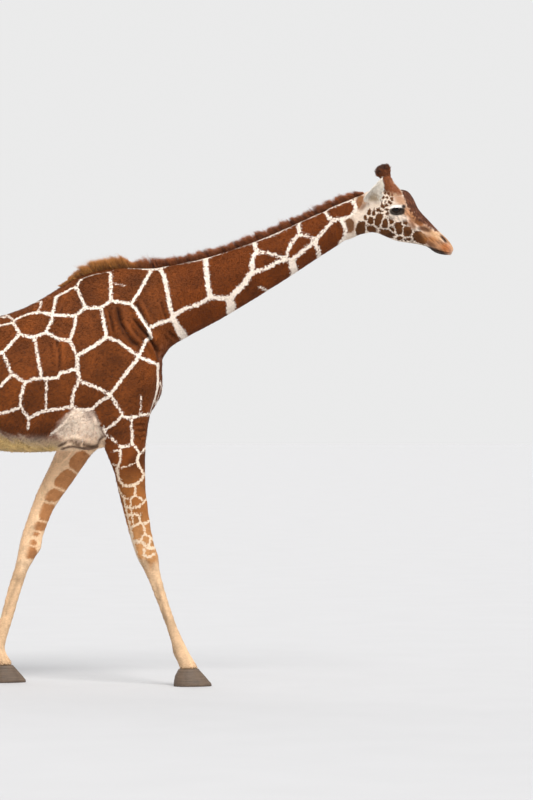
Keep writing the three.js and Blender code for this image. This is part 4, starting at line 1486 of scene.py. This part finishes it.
def regionShare(region):
    # how thickly each triangle of the skin is haired in this part
    co = whole["middles"]
    low = co[:, 2] < 1.5
    neck = co[:, 0] > 0.0
    if region == "legs":
        return (low & ~neck) * ramp(co[:, 2], 0.075, 0.11) + (low & neck)
    face = ramp(co[:, 0], 1.22, 1.27)
    if region == "neck":
        return (neck & ~low) * (1 - face)
    if region == "head":
        lips = ramp(ellipse(toPlan(co), 437, 252, 14, 2.0, 20), 0.8, 1.4)
        return face * (1 - 0.6 * earShareAt(co)) * ramp(eyeGap(co), 0.034, 0.040) * (0.3 + 0.7 * lips)
    side = co[:, 1] < 0 if region == "right" else co[:, 1] >= 0
    return (side & ~neck & ~low) * 1.0


whole = surfaceOf(skin.data)
coatTufts = coatMaterial("coatTufts")
for name, (region, count, length, width, raised, seed) in coatPieces.items():
    roots, outs, random = scatter(whole, regionShare(region), count, seed)
    aims = lieOf(roots, outs)
    aims = unit(aims + np.cross(outs, aims) * (0.16 * random.normal(size=count))[:, None])
    shorter = 1 - 0.35 * ramp(roots[:, 2], 0.5, 0.2) - 0.30 * ramp(roots[:, 0], 1.60, 1.72)  # feet and muzzle
    long = length * shorter * random.uniform(0.75, 1.25, count)
    wide = width * shorter * random.uniform(0.8, 1.2, count)
    lift = np.clip(random.normal(raised, 0.07, count), 0.06, 0.5)
    shades = bodyTints(roots, outs, aims, long, random)
    piece = growTufts(name, roots, outs, aims, long, wide, lift, shades, random, sink=0.0006)
    piece.data.materials.append(coatTufts)
print("coat laid")


# mane
maneShape = {
    # its top line on the side plan
    "top": [(60, 284), (66, 279.5), (75, 271), (80, 267.5), (85, 264), (90, 261), (100, 258.5), (110, 257.5),
            (120, 256), (125, 257), (130, 259), (135, 261), (139, 258), (145, 256.2), (150, 256),
            (160, 256.8), (170, 256), (180, 254.5), (190, 252), (200, 249.5), (210, 247), (220, 245),
            (230, 241.5), (240, 237), (250, 233), (260, 229), (270, 226), (280, 221), (290, 216.5),
            (300, 213), (310, 208), (320, 202.5), (330, 198), (340, 194), (350, 191.5), (358, 190.5),
            (364, 191)],
    "count": 11500,
    "width": 0.0036,
    "half": 0.019,  # half width of the strip it grows on, and how much wider that is on the withers
    "wider": 0.006,
}
maneTints = {"neck": colour(152, 86, 46), "withers": colour(190, 128, 64), "dark": colour(92, 45, 22)}


def crestRoots(low, high, count, seed):
    middles, faces = whole["middles"], whole["faces"]
    across = toPlan(middles)[:, 0]
    half = maneShape["half"] + maneShape["wider"] * ramp(across, 140, 110)
    share = (np.abs(middles[:, 1]) < half) * (faces[:, 2] > 0.2) * (middles[:, 2] > 2.3)
    share = share * between(across, low, high) * (1 - 0.4 * np.abs(middles[:, 1]) / half)
    return scatter(whole, share, count, seed)


def makeMane(name, low, high, lean, seed):
    roots, outs, random = crestRoots(low, high, maneShape["count"], seed)
    count = len(roots)
    where = toPlan(roots)
    line = np.array(maneShape["top"], float).T
    top = np.interp(where[:, 0], *line)
    slope = (np.interp(where[:, 0] + 4, *line) - np.interp(where[:, 0] - 4, *line)) / 8
    up = outs.copy()
    up[:, 1] *= 0.25
    up = unit(up)
    back = unit(np.stack([-np.ones(count), np.zeros(count), slope], 1))
    tilt = lean + 0.16 * random.normal(size=count) + 0.18 * wavy(where, 9, seed)
    aims = unit(up + back * tilt[:, None] + np.array([0, 1, 0]) * (0.10 * random.normal(size=count))[:, None])
    # each tuft is as long as it needs to reach the mane's top line
    climb = np.maximum(aims[:, 2] + slope * aims[:, 0], 0.35)
    length = np.maximum(where[:, 1] - top, 0.5) * plan["step"] / climb
    clump = 1 + 0.07 * wavy(where, 4.0, seed + 1) + 0.05 * wavy(where, 1.8, seed + 2)
    stray = 1 + 0.22 * (random.random(count) < 0.08)
    length = np.clip(length * clump * random.uniform(0.70, 1.0, count) * stray, 0.004, 0.15)
    gold = ramp(where[:, 0], 150, 118)
    base = blended(evenly(maneTints["neck"], count), maneTints["withers"], gold * 0.9)
    dark = np.clip(0.2 + 0.35 * wavy(where, 5, seed + 3), 0, 1) * (1 - 0.5 * gold)
    base = blended(base, maneTints["dark"], dark)
    base = np.clip(base * (1 + 0.22 * random.normal(size=count))[:, None], 0, 1)
    width = maneShape["width"] * random.uniform(0.7, 1.3, count)
    piece = growTufts(name, roots, up, aims, length, width, None, plainShades(base), random, rows=2, bend=0.08,
                      sink=0.003, flat=0.6)
    piece.data.materials.append(hairFinish)
    return piece


maneWithers = makeMane("mane_withers", 62, 141, 0.55, 201)
makeMane("mane_neck", 138, 364, 0.35, 202)
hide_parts("mane")
print("mane grown")


# tail tuft
tuftShape = {
    "count": 3000,
    "top": 1.275,  # height of the first roots, and of the longest tips
    "end": 0.775,
    "rooted": 0.20,  # length of tail that carries roots
    "width": 0.0036,
    "tint": colour(44, 30, 22),
}


def makeTailTuft():
    random = np.random.default_rng(301)
    count = tuftShape["count"]
    low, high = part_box("tail_tuft")
    middle = (low + high) / 2
    drop = random.random(count)
    height = tuftShape["top"] - tuftShape["rooted"] * drop
    angle = random.uniform(0, 2 * math.pi, count)
    radius = 0.009 * np.sqrt(random.random(count)) + 0.005
    roots = np.stack([middle.x + radius * np.cos(angle), middle.y + radius * np.sin(angle), height], 1)
    outs = np.stack([np.cos(angle), np.sin(angle), np.zeros(count)], 1)
    flare = random.uniform(0.0, 0.11, count) * (1 - 0.5 * drop)
    aims = unit(np.stack([outs[:, 0] * flare + 0.015, outs[:, 1] * flare, -np.ones(count)], 1))
    reach = 1 - 0.5 * np.abs(random.normal(size=count)) * (0.35 + 2.5 * flare)
    length = np.clip((height - tuftShape["end"]) * reach, 0.08, 0.6)
    base = evenly(tuftShape["tint"], count) * (1 + 0.35 * random.normal(size=count))[:, None]
    base = np.clip(base, 0.002, 1)
    width = tuftShape["width"] * random.uniform(0.7, 1.3, count)
    piece = growTufts("tail_hair", roots, outs, aims, length, width, None, plainShades(base), random, rows=3,
                      bend=0.10, sink=0.0, flat=0.7)
    piece.data.materials.append(hairFinish)
    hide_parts("tail_tuft")


makeTailTuft()


# ossicones
ossiconeShape = {
    "lean": (-0.345, 0.07, 1.0),
    "foot": (1.434, 0.048, 3.03),
    "base": 3.04,  # the shaft is sunk into the skull from here down
    "sink": 0.012,
    "voxel": 0.0042,
    "knobAt": 0.152,  # how far up the horn its knob is widest
    "knobSize": 0.034,
    "knobOut": 0.006,
    "ridges": 0.0012,
    "brow": 0.030,  # how far the base spreads forwards over the brow
    "tufts": 4600,
    "tuftWidth": 0.0019,
}
ossiconeTints = {
    "shaft": colour(134, 74, 38),
    "lower": colour(214, 180, 146),
    "spots": colour(112, 62, 36),
    "front": colour(220, 188, 160),
    "crown": colour(70, 40, 28),
}


def makeOssicone(side):
    word = sideWord(side)
    piece = copyOfNode("ossicone_" + word)
    piece.name = piece.data.name = "ossicone_horn_" + word
    axis = np.array(ossiconeShape["lean"]) * np.array([1, side, 1])
    axis = axis / np.linalg.norm(axis)
    foot = np.array(ossiconeShape["foot"]) * np.array([1, side, 1])
    co = coordsOf(piece.data)
    sunk = ramp(co[:, 2], ossiconeShape["base"] + 0.035, ossiconeShape["base"])
    putCoords(piece.data, co - axis * (ossiconeShape["sink"] * sunk)[:, None])
    remesh(piece, ossiconeShape["voxel"])
    co, edges = coordsOf(piece.data), edgesOf(piece.data)
    along = (co - foot) @ axis
    co = relax(co, edges, np.full(len(co), 0.5), 16)
    # the knob bulges to the rear, and the shaft carries low bony ridges
    knob = bell(along - ossiconeShape["knobAt"], ossiconeShape["knobSize"])
    co += np.stack([-ossiconeShape["knobOut"] * knob, 0 * knob, 0.001 * knob], 1)
    ridges = ossiconeShape["ridges"] * wavy(co, 0.022, 311) * ramp(along, 0.02, 0.06)
    co += ridges[:, None] * normalsOf(piece.data)
    # the base spreads forwards over the brow
    ahead = co[:, 0] - foot[0] - axis[0] * along / axis[2]
    co[:, 0] += ossiconeShape["brow"] * ramp(along, 0.085, 0.0) * ramp(ahead, -0.01, 0.03)
    co[:, 2] -= 0.006 * ramp(along, 0.05, 0.0)
    putCoords(piece.data, co)
    surface = surfaceOf(piece.data)

    def horned(points, outs):
        # brown shaft, patched low down, pale in front and dark at the crown
        along, count = (points - foot) @ axis, len(points)
        where = toPlan(points * np.array([1, -side, 1]))
        spots = ramp(headPatches(where), -0.5, 0.3)
        low = blended(evenly(ossiconeTints["lower"], count), ossiconeTints["spots"], spots)
        share = ramp(where[:, 1] + 0.8 * wavy(where, 3, 313) - 0.35 * (where[:, 0] - 384), 187.0, 194.0)
        base = blended(evenly(ossiconeTints["shaft"], count), low, share)
        front = ramp(outs[:, 0], 0.45, 0.9) * ramp(along, 0.10, 0.05)
        base = blended(base, ossiconeTints["front"], front * 0.8)
        crown = ramp(along + 0.010 * wavy(points, 0.02, 312) - 0.25 * (points[:, 0] - 1.38), 0.135, 0.165)
        return blended(base, ossiconeTints["crown"], crown * 0.85)

    tint = horned(surface["co"], surface["normals"])
    setFloat(piece.data, "line", np.ones(len(co)))
    setColour(piece.data, "patchTint", tint)
    setColour(piece.data, "paleTint", tint)
    setFloat(piece.data, "tip", np.full(len(co), 0.55))
    piece.data.materials.append(hairFinish)
    smoothShaded(piece)
    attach(piece, "root")
    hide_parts("ossicone_" + word)
    # short hair up the shaft, longer and dark round the knob
    along = (surface["middles"] - foot) @ axis
    share = 0.6 + 1.2 * ramp(along, 0.11, 0.13)
    roots, outs, random = scatter(surface, share, ossiconeShape["tufts"], 320 + side)
    count = len(roots)
    along = (roots - foot) @ axis
    knob = ramp(along, 0.105, 0.135)
    crown = ramp(along, 0.165, 0.185)
    aims = unit(axis + 0.1 * random.normal(size=(count, 3)) + outs * (0.5 * knob)[:, None]
                + np.array([-0.5, 0, -0.15]) * knob[:, None])
    aims = unit(aims - outs * ((aims * outs).sum(1) * 0.9)[:, None])
    length = (0.010 + 0.013 * knob * (1 - 0.45 * crown)) * random.uniform(0.7, 1.25, count)
    tint = np.clip(horned(roots, outs) * (1 + 0.22 * random.normal(size=count))[:, None], 0, 1)
    lift = np.clip(0.3 + 0.25 * knob + 0.1 * random.normal(size=count), 0.05, 0.9)
    width = ossiconeShape["tuftWidth"] * random.uniform(0.8, 1.4, count)
    hair = growTufts("ossicone_hair_" + word, roots, outs, aims, length, width, lift, plainShades(tint), random,
                     rows=2, bend=0.1, sink=0.0008)
    hair.data.materials.append(hairFinish)


for side in (-1, 1):
    makeOssicone(side)
print("ossicones made")


# eyes and lashes
eyeFinish = {
    "oval": (0.52, 0.30),  # half length and half height of the rings of colour, in radii of the eye
    "rings": [  # place from the middle out, then colour: pupil, iris and the dark round it
        (0.0, colour(6, 5, 6)), (0.46, colour(8, 6, 6)), (0.54, colour(44, 26, 14)),
        (0.86, colour(30, 18, 12)), (1.0, colour(22, 15, 12)),
    ],
}
lashShape = {"count": 150, "upper": 110, "width": 0.0013, "tint": colour(30, 20, 15)}


def eyeMaterial(name, centre, radius):
    material, tree, shader = newMaterial(name)
    place = nodeOf(tree, "TexCoord")
    put = mappedPlace(tree, place, "Object", vector_type="POINT", Location=[-c for c in centre])
    long, high = eyeFinish["oval"]
    flat = (1 / (radius * long), 0.0, 1 / (radius * high))
    oval = mappedPlace(tree, put, "Vector", vector_type="POINT", Scale=flat)
    size = nodeOf(tree, "VectorMath", operation="LENGTH")
    link(tree, oval, "Vector", size, 0)
    ring = nodeOf(tree, "ValToRGB")
    stops = ring.color_ramp.elements
    for stop, (position, tint) in zip((stops[0], stops[1]), (eyeFinish["rings"][0], eyeFinish["rings"][-1])):
        stop.position, stop.color = position, (*tint, 1)
    for position, tint in eyeFinish["rings"][1:-1]:
        stops.new(position).color = (*tint, 1)
    link(tree, halved(tree, size, "Value"), "Value", ring, "Fac")
    fibre = noiseOf(tree, put, "Vector", Scale=260.0, Detail=3.0)
    toned = scaledColour(tree, ring, "Color", spanOf(tree, fibre, "Fac", 0.3, 0.7, 0.75, 1.2), "Result")
    link(tree, toned, 0, shader, "Base Color")
    setInputs(shader, Roughness=0.12, Specular_IOR_Level=0.15, Coat_Weight=0.12, Coat_Roughness=0.04)
    return material


def makeEye(side):
    word = sideWord(side)
    at, radius = eyeAt(side)
    ball = roundBall("eyeball_" + word, radius, at, 56)
    co = coordsOf(ball.data)
    offset = co - np.array(at)
    out = offset[:, 1] * side / radius
    bulge = ramp(out, 0.80, 1.0) * 0.0016
    putCoords(ball.data, np.array(at) + offset * (1 + bulge / radius)[:, None])
    smoothShaded(ball)
    ball.data.materials.clear()
    ball.data.materials.append(eyeMaterial("eye_" + word, at, radius))
    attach(ball, "root")
    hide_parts("eye_" + word)
    # lashes along the edge of the upper lid, longest towards the front, and a few below
    random = np.random.default_rng(340 + side)
    count = lashShape["count"]
    upper = np.arange(count) < lashShape["upper"]
    u = np.where(upper, random.uniform(-0.028, 0.037, count), random.uniform(-0.02, 0.034, count))
    top, bottom = lidEdges(u)
    v = np.where(upper, top + random.uniform(0, 0.0022, count), bottom - random.uniform(0, 0.0015, count))
    cover = radius + eyeShape["lid"]
    out = np.sqrt(np.maximum(cover ** 2 - u ** 2 - v ** 2, 1e-6))
    offset = np.stack([u, side * out, v], 1)
    outs = unit(offset)
    aims = unit(outs * 0.75 + np.stack([0.35 + 6 * u, np.zeros(count), np.where(upper, -0.55, -0.5)], 1)
                + 0.12 * random.normal(size=(count, 3)))
    length = np.where(upper, 0.012 + 0.010 * ramp(u, -0.01, 0.03), 0.008) * random.uniform(0.8, 1.15, count)
    tint, width = evenly(lashShape["tint"], count), np.full(count, lashShape["width"])
    lash = growTufts("lashes_" + word, np.array(at) + offset, outs, aims, length, width, None,
                     plainShades(tint), random, rows=3, bend=0.1, sink=0.001, flat=0.8)
    lash.data.materials.append(hairFinish)


for side in (-1, 1):
    makeEye(side)
print("eyes made")


# hooves
hoofShape = {"voxel": 0.0050, "ripple": 0.0007, "rippleStep": 0.011, "sole": 0.003}
hoofTints = (colour(58, 46, 38), colour(118, 98, 80))


def hornMaterial():
    # horn grown in rings, dirty in clouds
    material, tree, shader = newMaterial("hornOfHoof")
    place = nodeOf(tree, "TexCoord")
    rings = mappedPlace(tree, place, "Object", Scale=(7, 7, 120))
    bands = noiseOf(tree, rings, "Vector", Scale=1.0, Detail=4.0, Roughness=0.6)
    dirt = noiseOf(tree, place, "Object", Scale=22.0, Detail=5.0, Roughness=0.65)
    tint = nodeOf(tree, "ValToRGB")
    for end, position, shade in zip(tint.color_ramp.elements, (0.25, 0.75), hoofTints):
        end.position, end.color = position, (*shade, 1)
    both = nodeOf(tree, "Math", operation="MULTIPLY_ADD")
    both.inputs[1].default_value = 0.5
    link(tree, bands, "Fac", both, 0)
    link(tree, halved(tree, dirt, "Fac"), "Value", both, 2)
    link(tree, both, "Value", tint, "Fac")
    link(tree, tint, "Color", shader, "Base Color")
    bump = nodeOf(tree, "Bump", Strength=0.6, Distance=0.0016)
    link(tree, bands, "Fac", bump, "Height")
    link(tree, bump, "Normal", shader, "Normal")
    link(tree, spanOf(tree, dirt, "Fac", 0.0, 1.0, 0.42, 0.8), "Result", shader, "Roughness")
    return material


horn = hornMaterial()
for foot in ("fore_right", "fore_left", "hind_right", "hind_left"):
    for half in ("inner", "outer"):
        node = f"hoof_{foot}_{half}"
        claw = copyOfNode(node)
        claw.name = claw.data.name = f"claw_{foot}_{half}"
        remesh(claw, hoofShape["voxel"])
        co, edges = coordsOf(claw.data), edgesOf(claw.data)
        co = relax(co, edges, 0.08 + 0.42 * ramp(co[:, 2], 0.004, 0.012), 10)
        # the sole is flat on the floor, and the claw keeps its box
        low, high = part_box(node)
        co[:, 2] = np.where(co[:, 2] < hoofShape["sole"], 0.0, co[:, 2])
        co = np.clip(co, np.array(low), np.array(high))
        turns = co[:, 2] / hoofShape["rippleStep"] * 2 * math.pi + wavy(co, 0.08, 401)
        ripple = hoofShape["ripple"] * np.sin(turns) * ramp(co[:, 2], 0.008, 0.02)
        putCoords(claw.data, co)
        putCoords(claw.data, co + ripple[:, None] * normalsOf(claw.data) * np.array([1, 1, 0]))
        smoothShaded(claw)
        claw.data.materials.append(horn)
        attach(claw, "root")
        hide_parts(node)
print("hooves made")


# longer hair where it breaks the form
fringes = {  # name: tufts, length, width, lift, seed, change of tone from tuft to tuft
    "coat_ears": (6000, 0.016, 0.0016, 0.35, 501, 0.08),
    "coat_outline": (9000, 0.024, 0.0026, 0.38, 502, 0.16),
    "coat_legs_rear": (9000, 0.018, 0.0020, 0.28, 504, 0.16),
}


def makeFringe(name, share, way):
    count, length, width, lift, seed, tone = fringes[name]
    roots, outs, random = scatter(whole, share, count, seed)
    aims = way(roots, outs)
    aims = unit(aims + np.cross(outs, aims) * (0.2 * random.normal(size=count))[:, None])
    long = length * random.uniform(0.6, 1.2, count)
    raised = np.clip(lift + 0.12 * random.normal(size=count), 0.05, 1.0)
    shades = bodyTints(roots, outs, aims, long, random, tone)
    wide = width * random.uniform(0.7, 1.3, count)
    piece = growTufts(name, roots, outs, aims, long, wide, raised, shades, random, rows=2, bend=0.12,
                      sink=0.0008)
    piece.data.materials.append(coatTufts)


def earWay(roots, outs):
    # the hair of the ears lies outwards and up, along their length
    side = np.sign(roots[:, 1])
    return unit(alongSkin(np.stack([0.22 + 0 * side, 0.45 * side, np.full(len(side), 0.8)], 1), outs))


middles, faces = whole["middles"], whole["faces"]
x, z = middles[:, 0], middles[:, 2]
makeFringe("coat_ears", earShareAt(middles), earWay)
chest = ramp(faces[:, 0], 0.2, 0.8) * between(x, -0.3, 0.2) * (z > 1.5)
bellyLine = ramp(-faces[:, 2], 0.2, 0.7) * between(z, 1.38, 1.8)
backLine = ramp(faces[:, 2], 0.5, 0.9) * (x < -0.5) * (z > 1.8)
rump = ramp(-faces[:, 0], 0.3, 0.8) * (z > 1.2) * (x < -1.2)
makeFringe("coat_outline", chest + bellyLine + backLine + rump, lieOf)
rear = ramp(z, 1.5, 1.3) * ramp(-faces[:, 0], 0.2, 0.7) * (z > 0.2)
makeFringe("coat_legs_rear", rear + 3.0 * ramp(z, 0.17, 0.12), lieOf)
print("fringes laid")
